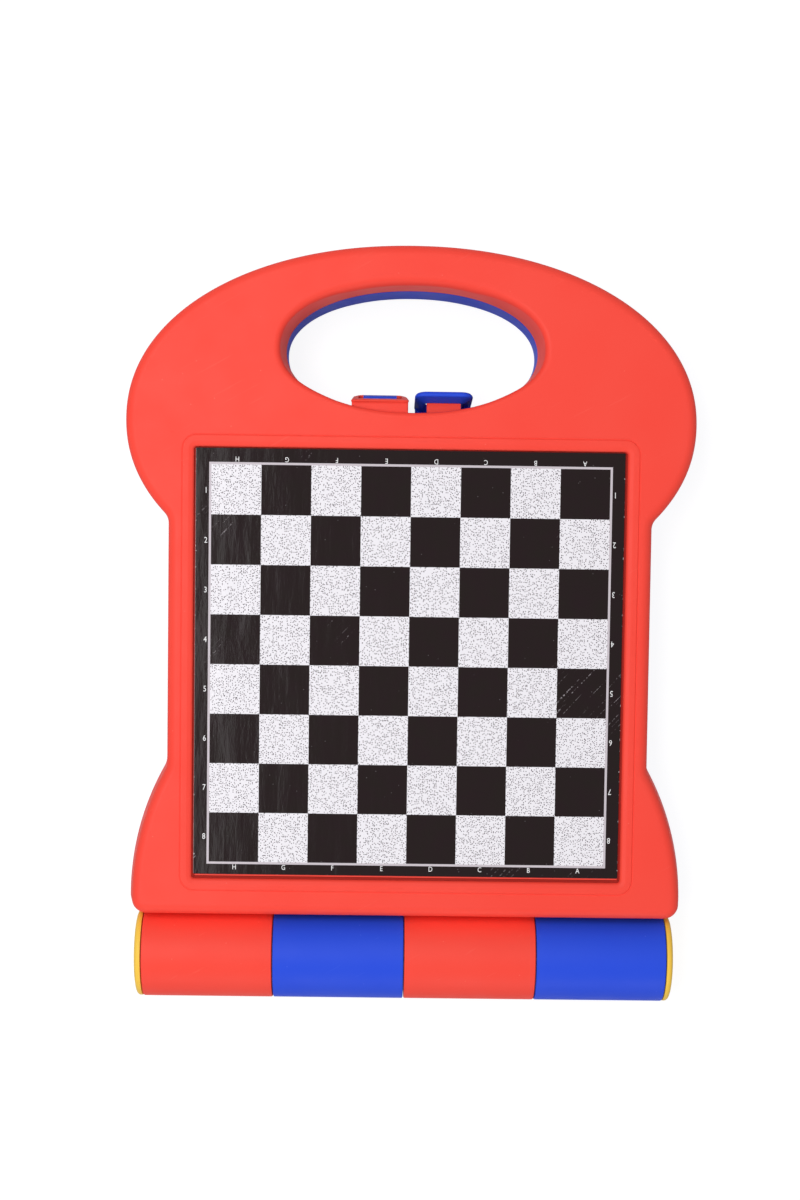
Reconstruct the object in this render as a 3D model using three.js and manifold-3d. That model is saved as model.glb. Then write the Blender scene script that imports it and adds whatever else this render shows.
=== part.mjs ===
// A folding games case with a chess computer inside: two equal plastic halves hinged on a fat barrel, a hand
// opening at the far end, two hoop latches on the edge of that opening and a printed chessboard on the lid.
// Millimetres, +Z up. The case lies shut on its lower half, the hand opening towards +Y, the barrel along X.
// Both halves are one moulding: the lid is the lower half turned over about the Y axis.

import * as THREE from "three";
import { mergeVertices } from "three/addons/utils/BufferGeometryUtils.js";
import Module from "manifold-3d";

const wasm = await Module();
wasm.setup();

// Board and its label
const squareSize = 22;
const squaresPerSide = 8;
const labelMargin = 7;
const labelThickness = 0.6;
const labelClearance = 0.3;
const labelPocketDepth = 1.5;
const bandWidth = 5.8;
const bandHeight = 0.4;
const bandCornerRadius = 6;

// Case outline, seen from above, measured out from the raised band around the label
const waistMargin = 7.6;
const headFlare = 18.9;
const hipFlare = 16.9;
const footMargin = 10.8;
const openingMargin = 10.6;
const headHalfHeight = 77.4;
const headRoundness = 2.1;
const flareRadius = 121.5;
const creaseRadius = 9;
const footCornerRadius = 6.5;

// Half shell
const halfThickness = 20;
const seamGap = 0.3;
const shellWall = 2.2;
const faceThickness = 2.9;
const rimRadius = 4.5;
const bossRadius = 3.8;
const bossInset = 12;

// Hand opening
const gripWidth = 19.6;
const openingHalfWidth = 56.2;
const openingHalfHeight = 27.8;
const openingRimRadius = 2;

// Barrel hinge
const barrelInset = 0.2;
const barrelEndInset = 6.6;
const barrelClearance = 0.3;
const knuckleGap = 0.5;
const knuckleWall = 2.9;
const webInset = 1.2;
const webReach = 6;
const webHeight = 11;
const tubeWall = 1.5;
const tubeEndGap = 0.3;
const fitGap = 0.3;

// End caps
const capInset = 0.3;
const capThickness = 2.7;
const capRimRadius = 1.2;
const capPlugLength = 9;
const capPlugWall = 1.6;

// Hoop latches
const latchWidth = 25.8;
const latchSpacing = 28.4;
const latchSideGap = 0.5;
const latchPivotDrop = 5;
const latchPivotInset = 4.2;
const latchLip = 2;
const latchBackReach = 3;
const latchTopReach = 2.9;
const latchBarHeight = 6.9;
const latchReach = 11.8;
const latchPlate = 4.5;
const latchEndRoom = 5.6;
const latchHoopBar = 4.5;
const latchLegWidth = 4.9;
const latchCornerRadius = 4;
const latchChamfer = 0.8;
const latchLean = 6;
const redLatchAjar = 7;
const latchPinRadius = 1.2;
const latchPinBite = 4;
const latchSeatWall = 2.4;
const hookThickness = 7;
const hookEngagement = 4.6;

// Inner panels
const panelThickness = 2;
const panelDrop = 3.55;
const wellInset = 14;
const wellHalfWidth = 34;
const wellWall = 1.5;

// Screws
const screwShankRadius = 1.25;
const screwHeadRadius = 2.7;
const screwHeadHeight = 1.4;
const screwHeadRecess = 1;
const screwBite = 6;

// Circuit board and what it carries
const boardThickness = 1.6;
const boardDrop = 4.7;
const boardSideRoom = 16.7;
const boardMargin = 9;
const boardScrewInset = 3.6;
const boardScrewBite = 3;
const postRadius = 3;
const chipSide = 16;
const chipHeightShare = 0.32;
const chipX = 30;

// Where the console's parts stand, as shares of the way from the foot of the case to the latches
const windowShare = 0.2525;
const chipShare = 0.4585;
const squareKeyShare = 0.477;
const commandKeyShare = 0.599;
const bayShare = 0.833;
const speakerShare = 0.843;

// The same across the case, as shares of the waist's half width
const bayAcrossShare = 0.405;
const speakerAcrossShare = 0.46;

// Display
const windowLength = 96;
const windowWidth = 34;
const windowThickness = 1.3;
const windowLedge = 2;
const displayMargin = 4;

// Keys, as far apart as the squares of the board, and the rubber mat below them
const keySpacing = 7;
const keyDepth = 11;
const keyStand = 2.2;
const keyTravel = 1.5;
const keyFlange = 1.2;
const keyFlangeThickness = 0.9;
const keyCornerRadius = 2;
const keyBevel = 0.6;
const matThickness = 1;
const matMargin = 5;
const matPadHalfSide = 3;

// Loudspeaker
const speakerRadius = 18;
const speakerHeightShare = 0.56;
const grilleSlotWidth = 2;
const grilleSlotPitch = 5;

// Battery bay on the underside
const cellHeadroom = 0.6;
const cellLength = 44.5;
const cellGap = 0.5;
const contactThickness = 0.5;
const contactSpringLength = 1.8;
const contactSpringShare = 0.5;
const contactHeightShare = 0.67;
const bayWall = 2.8;
const doorThickness = 1.5;
const doorScrewLand = 9;

// Room for every cut to run past its faces, and how finely round shapes are cut
const overrun = 1;
const roundSteps = 40;
const smallRoundSteps = 14;
const screwSteps = 10;

// Counts of repeated pieces
const commandKeys = ["clear", "level", "new_game", "enter"];
const fileLetters = ["a", "b", "c", "d", "e", "f", "g", "h"];
const cellCount = 3;
const grilleSlots = 5;

// Sizes that follow from the ones above: the board and label, then the outline around them
const boardSide = squareSize * squaresPerSide;
const labelSide = boardSide + 2 * labelMargin;
const pocketSide = labelSide + 2 * labelClearance;
const bandSide = pocketSide + 2 * bandWidth;
const waistHalfWidth = bandSide / 2 + waistMargin;
const headHalfWidth = waistHalfWidth + headFlare;
const hipHalfWidth = waistHalfWidth + hipFlare;
const footEdgeY = -bandSide / 2 - footMargin;
const openingNearY = bandSide / 2 + openingMargin;
const openingCentreY = openingNearY + openingHalfHeight;
const headCentreY = openingCentreY + openingHalfHeight + gripWidth - headHalfHeight;

// Heights in the lower half
const caseThickness = 2 * halfThickness;
const seamZ = halfThickness - seamGap / 2;
const faceZ = bandHeight;
const innerFaceZ = faceZ + faceThickness;
const panelTopZ = seamZ - panelDrop;
const panelLowZ = panelTopZ - panelThickness;
const boardTopZ = panelLowZ - boardDrop;
const boardLowZ = boardTopZ - boardThickness;
const pocketFloorZ = labelPocketDepth;

// Barrel and its caps
const barrelRadius = halfThickness - barrelInset;
const barrelAxisY = footEdgeY - barrelClearance - barrelRadius;
const barrelHalfLength = hipHalfWidth - barrelEndInset;
const knuckleLength = barrelHalfLength / 2;
const tubeRadius = barrelRadius - knuckleWall - fitGap;
const capRadius = barrelRadius - capInset;

// Latches
const latchX = latchSpacing / 2;
const pivotY = openingNearY - latchPivotInset;
const latchRecessZ = faceZ + latchLip;
const pivotZ = latchRecessZ + latchPivotDrop;
const latchLength = caseThickness - pivotZ - latchEndRoom;
const latchSeatBackY = pivotY - latchBackReach - latchSideGap - latchSeatWall;

// Places in the console
const consoleY = (share) => footEdgeY + share * (latchSeatBackY - footEdgeY);
const windowY = consoleY(windowShare);
const squareKeyY = consoleY(squareKeyShare);
const commandKeyY = consoleY(commandKeyShare);
const keyPitch = squareSize;
const keyLength = keyPitch - keySpacing;
const commandKeyPitch = 2 * keyPitch;
const commandKeyLength = 2 * keyLength;
const boardHalfWidth = waistHalfWidth - boardSideRoom;
const boardLowY = windowY - windowWidth / 2 - displayMargin - boardMargin;
const boardHighY = commandKeyY + keyDepth / 2 + matMargin + boardMargin;
const chipThickness = (boardLowZ - innerFaceZ) * chipHeightShare;
const speakerDepth = (panelLowZ - innerFaceZ) * speakerHeightShare;
const bossPlaces = [
  [hipHalfWidth - shellWall - bossInset - bossRadius, footEdgeY + bossInset + bossRadius],
  [(headHalfWidth + openingHalfWidth) / 2, openingNearY],
];

// Closed solids from three.js geometry, and geometry from solids

function solidOf(geometry) {
  const bare = geometry.clone();
  bare.deleteAttribute("normal");
  bare.deleteAttribute("uv");
  const merged = mergeVertices(bare);
  return new wasm.Manifold(
    new wasm.Mesh({
      numProp: 3,
      vertProperties: new Float32Array(merged.attributes.position.array),
      triVerts: new Uint32Array(merged.index.array),
    }),
  );
}

function geometryOf(solid) {
  const mesh = solid.getMesh();
  const geometry = new THREE.BufferGeometry();
  geometry.setAttribute("position", new THREE.BufferAttribute(mesh.vertProperties, mesh.numProp));
  geometry.setIndex(new THREE.BufferAttribute(mesh.triVerts, 1));
  return geometry;
}

function box(lowX, highX, lowY, highY, lowZ, highZ) {
  const geometry = new THREE.BoxGeometry(highX - lowX, highY - lowY, highZ - lowZ);
  geometry.translate((lowX + highX) / 2, (lowY + highY) / 2, (lowZ + highZ) / 2);
  return solidOf(geometry);
}

function upright(radius, x, y, lowZ, highZ, steps) {
  const geometry = new THREE.CylinderGeometry(radius, radius, highZ - lowZ, steps);
  geometry.rotateX(Math.PI / 2);
  geometry.translate(x, y, (lowZ + highZ) / 2);
  return solidOf(geometry);
}

function alongX(radius, lowX, highX, y, z, steps) {
  const geometry = new THREE.CylinderGeometry(radius, radius, highX - lowX, steps);
  geometry.rotateZ(Math.PI / 2);
  geometry.translate((lowX + highX) / 2, y, z);
  return solidOf(geometry);
}

// A closed solid through rings of equal point counts, each ring { points, z }, from low to high.
function loft(rings) {
  const count = rings[0].points.length;
  const positions = [];
  const faces = [];
  for (const ring of rings) {
    for (const point of ring.points) positions.push(point.x, point.y, ring.z);
  }
  for (let level = 0; level + 1 < rings.length; level++) {
    for (let i = 0; i < count; i++) {
      const a = level * count + i;
      const b = level * count + ((i + 1) % count);
      faces.push(a, b, b + count, a, b + count, a + count);
    }
  }
  const top = (rings.length - 1) * count;
  for (const [a, b, c] of THREE.ShapeUtils.triangulateShape(rings[0].points, [])) {
    faces.push(a, c, b);
  }
  for (const [a, b, c] of THREE.ShapeUtils.triangulateShape(rings[rings.length - 1].points, [])) {
    faces.push(top + a, top + b, top + c);
  }
  const geometry = new THREE.BufferGeometry();
  geometry.setAttribute("position", new THREE.Float32BufferAttribute(positions, 3));
  geometry.setIndex(faces);
  return solidOf(geometry);
}

// A ring moved sideways along its own normals: inwards for a positive distance on an anticlockwise ring.
function inset(points, distance) {
  return points.map((point, i) => {
    const before = points[(i + points.length - 1) % points.length];
    const after = points[(i + 1) % points.length];
    const along = after.clone().sub(before).normalize();
    return new THREE.Vector2(point.x - along.y * distance, point.y + along.x * distance);
  });
}

function roundedRectangle(length, width, radius, x, y, steps) {
  const points = [];
  const corners = [
    [1, 1],
    [-1, 1],
    [-1, -1],
    [1, -1],
  ];
  corners.forEach(([sideX, sideY], corner) => {
    for (let i = 0; i <= steps; i++) {
      const angle = ((corner + i / steps) * Math.PI) / 2;
      points.push(
        new THREE.Vector2(
          x + sideX * (length / 2 - radius) + radius * Math.cos(angle),
          y + sideY * (width / 2 - radius) + radius * Math.sin(angle),
        ),
      );
    }
  });
  return points;
}

// A prism along X from an outline in Y and Z.
function prismAlongX(outline, lowX, highX) {
  const shape = new THREE.Shape(outline.map(([y, z]) => new THREE.Vector2(y, z)));
  const geometry = new THREE.ExtrudeGeometry(shape, { depth: highX - lowX, bevelEnabled: false });
  const turn = new THREE.Matrix4().makeBasis(
    new THREE.Vector3(0, 1, 0),
    new THREE.Vector3(0, 0, 1),
    new THREE.Vector3(1, 0, 0),
  );
  geometry.applyMatrix4(turn);
  geometry.translate(lowX, 0, 0);
  return solidOf(geometry);
}

// A superellipse, as the round head and the hand opening have: |x/a|^n + |y/b|^n = 1.
function superellipsePoint(halfWidth, halfHeight, centreY, angle) {
  const power = 2 / headRoundness;
  const c = Math.cos(angle);
  const s = Math.sin(angle);
  return new THREE.Vector2(
    halfWidth * Math.sign(c) * Math.abs(c) ** power,
    centreY + halfHeight * Math.sign(s) * Math.abs(s) ** power,
  );
}

// The case outline, anticlockwise. The right half runs from the foot up to the top: foot corner, flare,
// crease, waist, crease, head. Each crease is an arc that touches the waist and the round form beside it.
function caseOutline() {
  const half = [];
  const cornerCentre = new THREE.Vector2(hipHalfWidth - footCornerRadius, footEdgeY + footCornerRadius);
  const arc = (centre, radius, from, to, steps) => {
    for (let i = 0; i <= steps; i++) {
      const angle = from + ((to - from) * i) / steps;
      half.push(new THREE.Vector2(centre.x + radius * Math.cos(angle), centre.y + radius * Math.sin(angle)));
    }
  };
  arc(cornerCentre, footCornerRadius, -Math.PI / 2, 0, 5);

  const flareCentre = new THREE.Vector2(hipHalfWidth - flareRadius, cornerCentre.y);
  const creaseX = waistHalfWidth + creaseRadius;
  const reach = flareRadius + creaseRadius;
  const lowCrease = new THREE.Vector2(
    creaseX,
    flareCentre.y + Math.sqrt(reach ** 2 - (creaseX - flareCentre.x) ** 2),
  );
  const flareEnd = Math.atan2(lowCrease.y - flareCentre.y, lowCrease.x - flareCentre.x);
  arc(flareCentre, flareRadius, flareEnd / 8, flareEnd, 7);
  arc(lowCrease, creaseRadius, Math.PI + (2 * flareEnd) / 3, Math.PI, 2);

  let low = -Math.PI / 2;
  let high = 0;
  const normalAt = (angle) => {
    const point = superellipsePoint(headHalfWidth, headHalfHeight, 0, angle);
    const gradient = new THREE.Vector2(
      (Math.abs(point.x) / headHalfWidth) ** (headRoundness - 1) / headHalfWidth,
      -((Math.abs(point.y) / headHalfHeight) ** (headRoundness - 1)) / headHalfHeight,
    );
    return gradient.normalize();
  };
  const touchX = (angle) => {
    const point = superellipsePoint(headHalfWidth, headHalfHeight, headCentreY, angle);
    return point.x + normalAt(angle).x * creaseRadius;
  };
  while (high - low > Number.EPSILON * roundSteps) {
    const middle = (low + high) / 2;
    if (touchX(middle) < creaseX) low = middle;
    else high = middle;
  }
  const touch = superellipsePoint(headHalfWidth, headHalfHeight, headCentreY, high);
  const normal = normalAt(high);
  const highCrease = touch.clone().addScaledVector(normal, creaseRadius);
  const creaseEnd = Math.atan2(-normal.y, -normal.x);
  arc(highCrease, creaseRadius, Math.PI, (2 * creaseEnd + Math.PI) / 3, 2);
  const headSteps = 26;
  for (let i = 0; i < headSteps; i++) {
    const angle = high + ((Math.PI / 2 - high) * i) / headSteps;
    half.push(superellipsePoint(headHalfWidth, headHalfHeight, headCentreY, angle));
  }
  const top = new THREE.Vector2(0, headCentreY + headHalfHeight);
  const left = half.map((point) => new THREE.Vector2(-point.x, point.y)).reverse();
  return [...half, top, ...left];
}

function openingOutline(steps) {
  const points = [];
  for (let i = 0; i < steps; i++) {
    points.push(
      superellipsePoint(openingHalfWidth, openingHalfHeight, openingCentreY, (2 * Math.PI * i) / steps),
    );
  }
  return points;
}

// The half shell, built as the lower half: outer face down, open side up at the seam.

const outline = caseOutline();
const opening = openingOutline(roundSteps);

// The outer block with its rounded rim: the outline drawn in along a quarter circle towards the outer face.
function outerBlock() {
  const steps = 3;
  const rings = [];
  for (let i = steps; i >= 0; i--) {
    const angle = (i / steps) * (Math.PI / 2);
    rings.push({
      points: inset(outline, rimRadius * (1 - Math.cos(angle))),
      z: faceZ + rimRadius * (1 - Math.sin(angle)),
    });
  }
  rings.push({ points: outline, z: seamZ });
  return loft(rings);
}

// The hand opening as a plug that flares at the outer face, which rounds the rim it cuts.
function openingPlug() {
  const steps = 2;
  const rings = [{ points: inset(opening, -openingRimRadius), z: -overrun }];
  for (let i = steps; i > 0; i--) {
    const angle = (i / steps) * (Math.PI / 2);
    rings.push({
      points: inset(opening, -openingRimRadius * (1 - Math.cos(angle))),
      z: faceZ + openingRimRadius * (1 - Math.sin(angle)),
    });
  }
  rings.push({ points: opening, z: faceZ + openingRimRadius });
  rings.push({ points: opening, z: halfThickness + overrun });
  return loft(rings);
}

// The room inside a half: the outline less the wall, from the inner face up, less a wall around the opening.
function innerRoom(wall, lowZ, highZ) {
  const room = loft([
    { points: inset(outline, wall), z: lowZ },
    { points: inset(outline, wall), z: highZ },
  ]);
  const collar = loft([
    { points: inset(opening, -wall), z: lowZ - overrun },
    { points: inset(opening, -wall), z: highZ + overrun },
  ]);
  return room.subtract(collar).subtract(latchSeat(wall - shellWall, lowZ - overrun, highZ + overrun));
}

// The thick seat that both latch recesses are sunk into, at the near edge of the hand opening.
function latchSeat(margin, lowZ, highZ) {
  const halfLength = latchX + latchWidth / 2 + latchSideGap + latchPinBite + latchSeatWall + margin;
  return box(-halfLength, halfLength, latchSeatBackY - margin, openingCentreY, lowZ, highZ);
}

function latchRecess(centreX) {
  const halfLength = latchWidth / 2 + latchSideGap;
  const backY = pivotY - latchBackReach - latchSideGap;
  return box(
    centreX - halfLength,
    centreX + halfLength,
    backY,
    openingCentreY,
    latchRecessZ,
    halfThickness + overrun,
  );
}

// The hook that the other half's hoop snaps over. Its catching face is an arc about the hoop's pivot, so
// the hoop swings off it, and its nose reaches through the hoop's window.
function latchHook(centreX) {
  const otherPivotZ = caseThickness - pivotZ;
  const reach = Math.hypot(hoopInnerReach(latchLength - latchHoopBar), latchLength - latchHoopBar) - fitGap;
  const noseReach = hoopInnerReach(latchLength - latchHoopBar) + hookEngagement;
  const rootReach = -latchBackReach - latchSideGap - latchSeatWall / 2;
  const points = [[pivotY + rootReach, otherPivotZ - reach + hookThickness / 2]];
  const steps = 4;
  for (let i = 0; i <= steps; i++) {
    const out = (noseReach * i) / steps;
    points.push([pivotY + out, otherPivotZ - Math.sqrt(reach ** 2 - out ** 2)]);
  }
  const noseZ = otherPivotZ - Math.sqrt(reach ** 2 - noseReach ** 2);
  points.push([pivotY + noseReach, noseZ + latchChamfer]);
  points.push([pivotY + noseReach - latchChamfer, noseZ + hookThickness / 2]);
  points.push([pivotY + rootReach, noseZ + hookThickness / 2]);
  const halfLength = latchWidth / 2 - latchLegWidth - latchSideGap;
  return prismAlongX(points, centreX - halfLength, centreX + halfLength);
}

// How far out from its pivot the inner face of a hoop's plate lies, at a distance along the hoop.
function hoopInnerReach(along) {
  return latchReach - latchPlate + along * Math.tan(THREE.MathUtils.degToRad(latchLean));
}

// One barrel knuckle with the web that joins it to the foot of its own half.
function knuckle(lowX, highX) {
  const ring = alongX(barrelRadius, lowX, highX, barrelAxisY, halfThickness, roundSteps);
  const web = box(
    lowX,
    highX,
    footEdgeY - webReach,
    footEdgeY + shellWall,
    seamZ - webInset - webHeight,
    seamZ - webInset,
  );
  return ring.add(web);
}

function barrelBore() {
  const radius = barrelRadius - knuckleWall;
  return alongX(
    radius,
    -barrelHalfLength - overrun,
    barrelHalfLength + overrun,
    barrelAxisY,
    halfThickness,
    roundSteps,
  );
}

function squareFrame(side, cornerRadius, lowZ, highZ, steps) {
  const points = roundedRectangle(side, side, cornerRadius, 0, 0, steps);
  return loft([
    { points, z: lowZ },
    { points, z: highZ },
  ]);
}

function halfShell() {
  const band = squareFrame(bandSide, bandCornerRadius, 0, faceZ + overrun, 4);
  let shell = outerBlock().add(band);
  shell = shell.subtract(innerRoom(shellWall, innerFaceZ, halfThickness + overrun));
  shell = shell.subtract(openingPlug());
  shell = shell.subtract(box(
    -pocketSide / 2,
    pocketSide / 2,
    -pocketSide / 2,
    pocketSide / 2,
    -overrun,
    pocketFloorZ,
  ));
  const bossTopZ = panelLowZ - fitGap;
  for (const [x, y] of bossPlaces) {
    for (const side of [-1, 1]) {
      const bossLowZ = faceZ + shellWall / 2;
      shell = shell.add(upright(bossRadius, side * x, y, bossLowZ, bossTopZ, smallRoundSteps));
      shell = shell.subtract(pilotHole(side * x, y, bossTopZ, screwBite));
    }
  }
  for (const side of [-1, 1]) shell = shell.subtract(latchRecess(side * latchX));
  shell = shell.add(latchHook(-latchX));
  const pinStart = latchX - latchWidth / 2 - latchSideGap - latchSeatWall / 4;
  const pinEnd = latchX + latchWidth / 2 + latchSideGap + latchPinBite;
  shell = shell.subtract(alongX(latchPinRadius + fitGap, pinStart, pinEnd, pivotY, pivotZ, smallRoundSteps));
  shell = shell.add(knuckle(-knuckleLength, -knuckleGap / 2));
  shell = shell.add(knuckle(knuckleLength + knuckleGap / 2, barrelHalfLength));
  return shell.subtract(barrelBore());
}

function pilotHole(x, y, topZ, depth) {
  return upright(screwShankRadius + fitGap, x, y, topZ - depth - fitGap, topZ + overrun, smallRoundSteps);
}

// The inner panel that closes a half a little below the seam: the console panel below, the liner in the lid.
function innerPanel() {
  let panel = innerRoom(shellWall + fitGap, panelLowZ, panelTopZ);
  const shankHole = screwShankRadius + fitGap;
  const headHole = screwHeadRadius + fitGap;
  const highZ = panelTopZ + overrun;
  for (const [x, y] of bossPlaces) {
    for (const side of [-1, 1]) {
      panel = panel.subtract(upright(shankHole, side * x, y, panelLowZ - overrun, highZ, smallRoundSteps));
      panel = panel.subtract(
        upright(headHole, side * x, y, panelTopZ - screwHeadRecess, highZ, smallRoundSteps),
      );
    }
  }
  return panel;
}

// A pan-head screw standing on its seat with its shank down.
function screw(bite) {
  const profile = [
    [0, -bite],
    [screwShankRadius / 2, -bite],
    [screwShankRadius, -bite + screwShankRadius],
    [screwShankRadius, 0],
    [screwHeadRadius, 0],
    [screwHeadRadius, screwHeadHeight / 2],
    [screwHeadRadius / 2, screwHeadHeight],
    [0, screwHeadHeight],
  ].map(([radius, z]) => new THREE.Vector2(radius, z));
  const geometry = new THREE.LatheGeometry(profile, screwSteps);
  geometry.rotateX(Math.PI / 2);
  return geometryOf(solidOf(geometry));
}

// A hoop latch about its pivot at the origin, hanging down: out is +Y, the free end is at -Z.
function hoopLatch() {
  const lean = Math.tan(THREE.MathUtils.degToRad(latchLean));
  const outerReach = (along) => latchReach + along * lean;
  const profile = [
    [-latchBackReach, latchBackReach / 2],
    [-latchBackReach, -latchBackReach / 2],
    [-latchBackReach / 2, -latchBackReach],
    [latchBackReach / 2, -latchBackReach],
    [hoopInnerReach(0) - latchChamfer, latchTopReach - latchBarHeight],
    [hoopInnerReach(latchLength), -latchLength + latchChamfer],
    [hoopInnerReach(latchLength) + latchChamfer, -latchLength],
    [outerReach(latchLength) - latchChamfer, -latchLength],
    [outerReach(latchLength), -latchLength + latchChamfer],
    [outerReach(0), latchTopReach - latchChamfer],
    [latchReach - latchChamfer, latchTopReach],
    [-latchBackReach / 2, latchTopReach],
  ];
  const body = prismAlongX(profile, -latchWidth / 2, latchWidth / 2);
  const height = latchLength + latchTopReach + latchCornerRadius;
  const front = roundedRectangle(
    latchWidth,
    height,
    latchCornerRadius,
    0,
    height / 2 - latchLength,
    4,
  );
  const frontSlab = solidOf(standingSlab(front, -latchReach, 2 * latchReach));
  const window = box(
    -latchWidth / 2 + latchLegWidth,
    latchWidth / 2 - latchLegWidth,
    -2 * latchReach,
    2 * latchReach,
    -latchLength + latchHoopBar,
    latchTopReach - latchBarHeight,
  );
  const bore = alongX(latchPinRadius + fitGap, -latchWidth, latchWidth, 0, 0, smallRoundSteps);
  return geometryOf(body.intersect(frontSlab).subtract(window).subtract(bore));
}

// A slab standing in the XZ plane, from an outline in X and Z, between two places along Y.
function standingSlab(points, lowY, highY) {
  const geometry = new THREE.ExtrudeGeometry(new THREE.Shape(points), {
    depth: highY - lowY,
    bevelEnabled: false,
  });
  geometry.rotateX(Math.PI / 2);
  geometry.translate(0, highY, 0);
  return geometry;
}

// Console parts, all in the lower half

const displayLowZ = boardTopZ + fitGap;
const displayTopZ = panelLowZ - fitGap;
const keyFlangeTopZ = panelLowZ - fitGap;
const keyFlangeLowZ = keyFlangeTopZ - keyFlangeThickness;
const keyTopZ = panelTopZ + keyStand;

const squareKeys = fileLetters.map((letter, i) => ({
  name: `key_${letter}${i + 1}`,
  length: keyLength,
  x: (i - (fileLetters.length - 1) / 2) * keyPitch,
  y: squareKeyY,
}));
const commandKeyRow = commandKeys.map((command, i) => ({
  name: `key_${command}`,
  length: commandKeyLength,
  x: (i - (commandKeys.length - 1) / 2) * commandKeyPitch,
  y: commandKeyY,
}));
const keys = [...squareKeys, ...commandKeyRow];

function keyHole({ length, x, y }) {
  const gap = fitGap;
  const points = roundedRectangle(length + 2 * gap, keyDepth + 2 * gap, keyCornerRadius + gap, x, y, 2);
  return loft([
    { points, z: panelLowZ - overrun },
    { points, z: panelTopZ + overrun },
  ]);
}

const speakerX = waistHalfWidth * speakerAcrossShare;
const speakerY = consoleY(speakerShare);

function consolePanel() {
  let panel = innerPanel();
  const ledgeZ = panelTopZ - windowThickness;
  panel = panel.subtract(box(
    -windowLength / 2 - fitGap,
    windowLength / 2 + fitGap,
    windowY - windowWidth / 2 - fitGap,
    windowY + windowWidth / 2 + fitGap,
    ledgeZ,
    panelTopZ + overrun,
  ));
  panel = panel.subtract(box(
    -windowLength / 2 + windowLedge,
    windowLength / 2 - windowLedge,
    windowY - windowWidth / 2 + windowLedge,
    windowY + windowWidth / 2 - windowLedge,
    panelLowZ - overrun,
    panelTopZ + overrun,
  ));
  for (const key of keys) panel = panel.subtract(keyHole(key));
  for (let i = 0; i < grilleSlots; i++) {
    const offset = (i - (grilleSlots - 1) / 2) * grilleSlotPitch;
    const halfLength = Math.sqrt((speakerRadius - grilleSlotWidth) ** 2 - offset ** 2) - grilleSlotWidth;
    panel = panel.subtract(box(
      speakerX - halfLength,
      speakerX + halfLength,
      speakerY + offset - grilleSlotWidth / 2,
      speakerY + offset + grilleSlotWidth / 2,
      panelLowZ - overrun,
      panelTopZ + overrun,
    ));
  }
  return panel;
}

function windowPane() {
  return box(
    -windowLength / 2,
    windowLength / 2,
    windowY - windowWidth / 2,
    windowY + windowWidth / 2,
    panelTopZ - windowThickness,
    panelTopZ,
  );
}

function displayModule() {
  return box(
    -windowLength / 2 - displayMargin,
    windowLength / 2 + displayMargin,
    windowY - windowWidth / 2 - displayMargin,
    windowY + windowWidth / 2 + displayMargin,
    displayLowZ,
    displayTopZ,
  );
}

// A key cap on its flange, about its own centre: the flange lies under the panel and holds the key in.
function keyCap(length) {
  const flange = box(
    -length / 2 - keyFlange,
    length / 2 + keyFlange,
    -keyDepth / 2 - keyFlange,
    keyDepth / 2 + keyFlange,
    keyFlangeLowZ,
    keyFlangeTopZ,
  );
  const points = roundedRectangle(length, keyDepth, keyCornerRadius, 0, 0, 2);
  const cap = loft([
    { points, z: (keyFlangeLowZ + keyFlangeTopZ) / 2 },
    { points, z: keyTopZ - keyBevel },
    { points: inset(points, keyBevel), z: keyTopZ },
  ]);
  return geometryOf(cap.add(flange));
}

// The rubber mat with a raised pad under each key, a key's travel below it.
function keyMat() {
  const lowZ = boardTopZ + fitGap;
  const halfLength = squareKeys[squareKeys.length - 1].x + keyLength / 2;
  let mat = box(
    -halfLength,
    halfLength,
    squareKeyY - keyDepth / 2 - matMargin,
    commandKeyY + keyDepth / 2 + matMargin,
    lowZ,
    lowZ + matThickness,
  );
  for (const { x, y } of keys) {
    mat = mat.add(box(
      x - matPadHalfSide,
      x + matPadHalfSide,
      y - matPadHalfSide,
      y + matPadHalfSide,
      lowZ + matThickness / 2,
      keyFlangeLowZ - keyTravel - fitGap,
    ));
  }
  return mat;
}

const boardScrewPlaces = [];
for (const side of [-1, 1]) {
  for (const y of [boardLowY + boardScrewInset, boardHighY - boardScrewInset]) {
    boardScrewPlaces.push([side * (boardHalfWidth - boardScrewInset), y]);
  }
}

function circuitBoard() {
  let board = box(-boardHalfWidth, boardHalfWidth, boardLowY, boardHighY, boardLowZ, boardTopZ);
  for (const [x, y] of boardScrewPlaces) {
    board = board.subtract(
      upright(screwShankRadius + fitGap, x, y, boardLowZ - overrun, boardTopZ + overrun, smallRoundSteps),
    );
  }
  return board;
}

function processorChip() {
  const topZ = boardLowZ - fitGap;
  const chipY = consoleY(chipShare);
  return box(
    chipX - chipSide / 2,
    chipX + chipSide / 2,
    chipY - chipSide / 2,
    chipY + chipSide / 2,
    topZ - chipThickness,
    topZ,
  );
}

// A small loudspeaker facing up: flange, cone and magnet in one turned body.
function loudspeaker() {
  const profile = [
    [0, 0],
    [speakerRadius / 2, 0],
    [speakerRadius / 2, speakerDepth / 2],
    [speakerRadius, (speakerDepth * 3) / 4],
    [speakerRadius, speakerDepth],
    [0, speakerDepth],
  ].map(([radius, z]) => new THREE.Vector2(radius, z));
  const geometry = new THREE.LatheGeometry(profile, smallRoundSteps * 2);
  geometry.rotateX(Math.PI / 2);
  return geometryOf(solidOf(geometry));
}

// Battery bay: a thick-walled box around three small cells, open below to the door and above to the panel.

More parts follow.
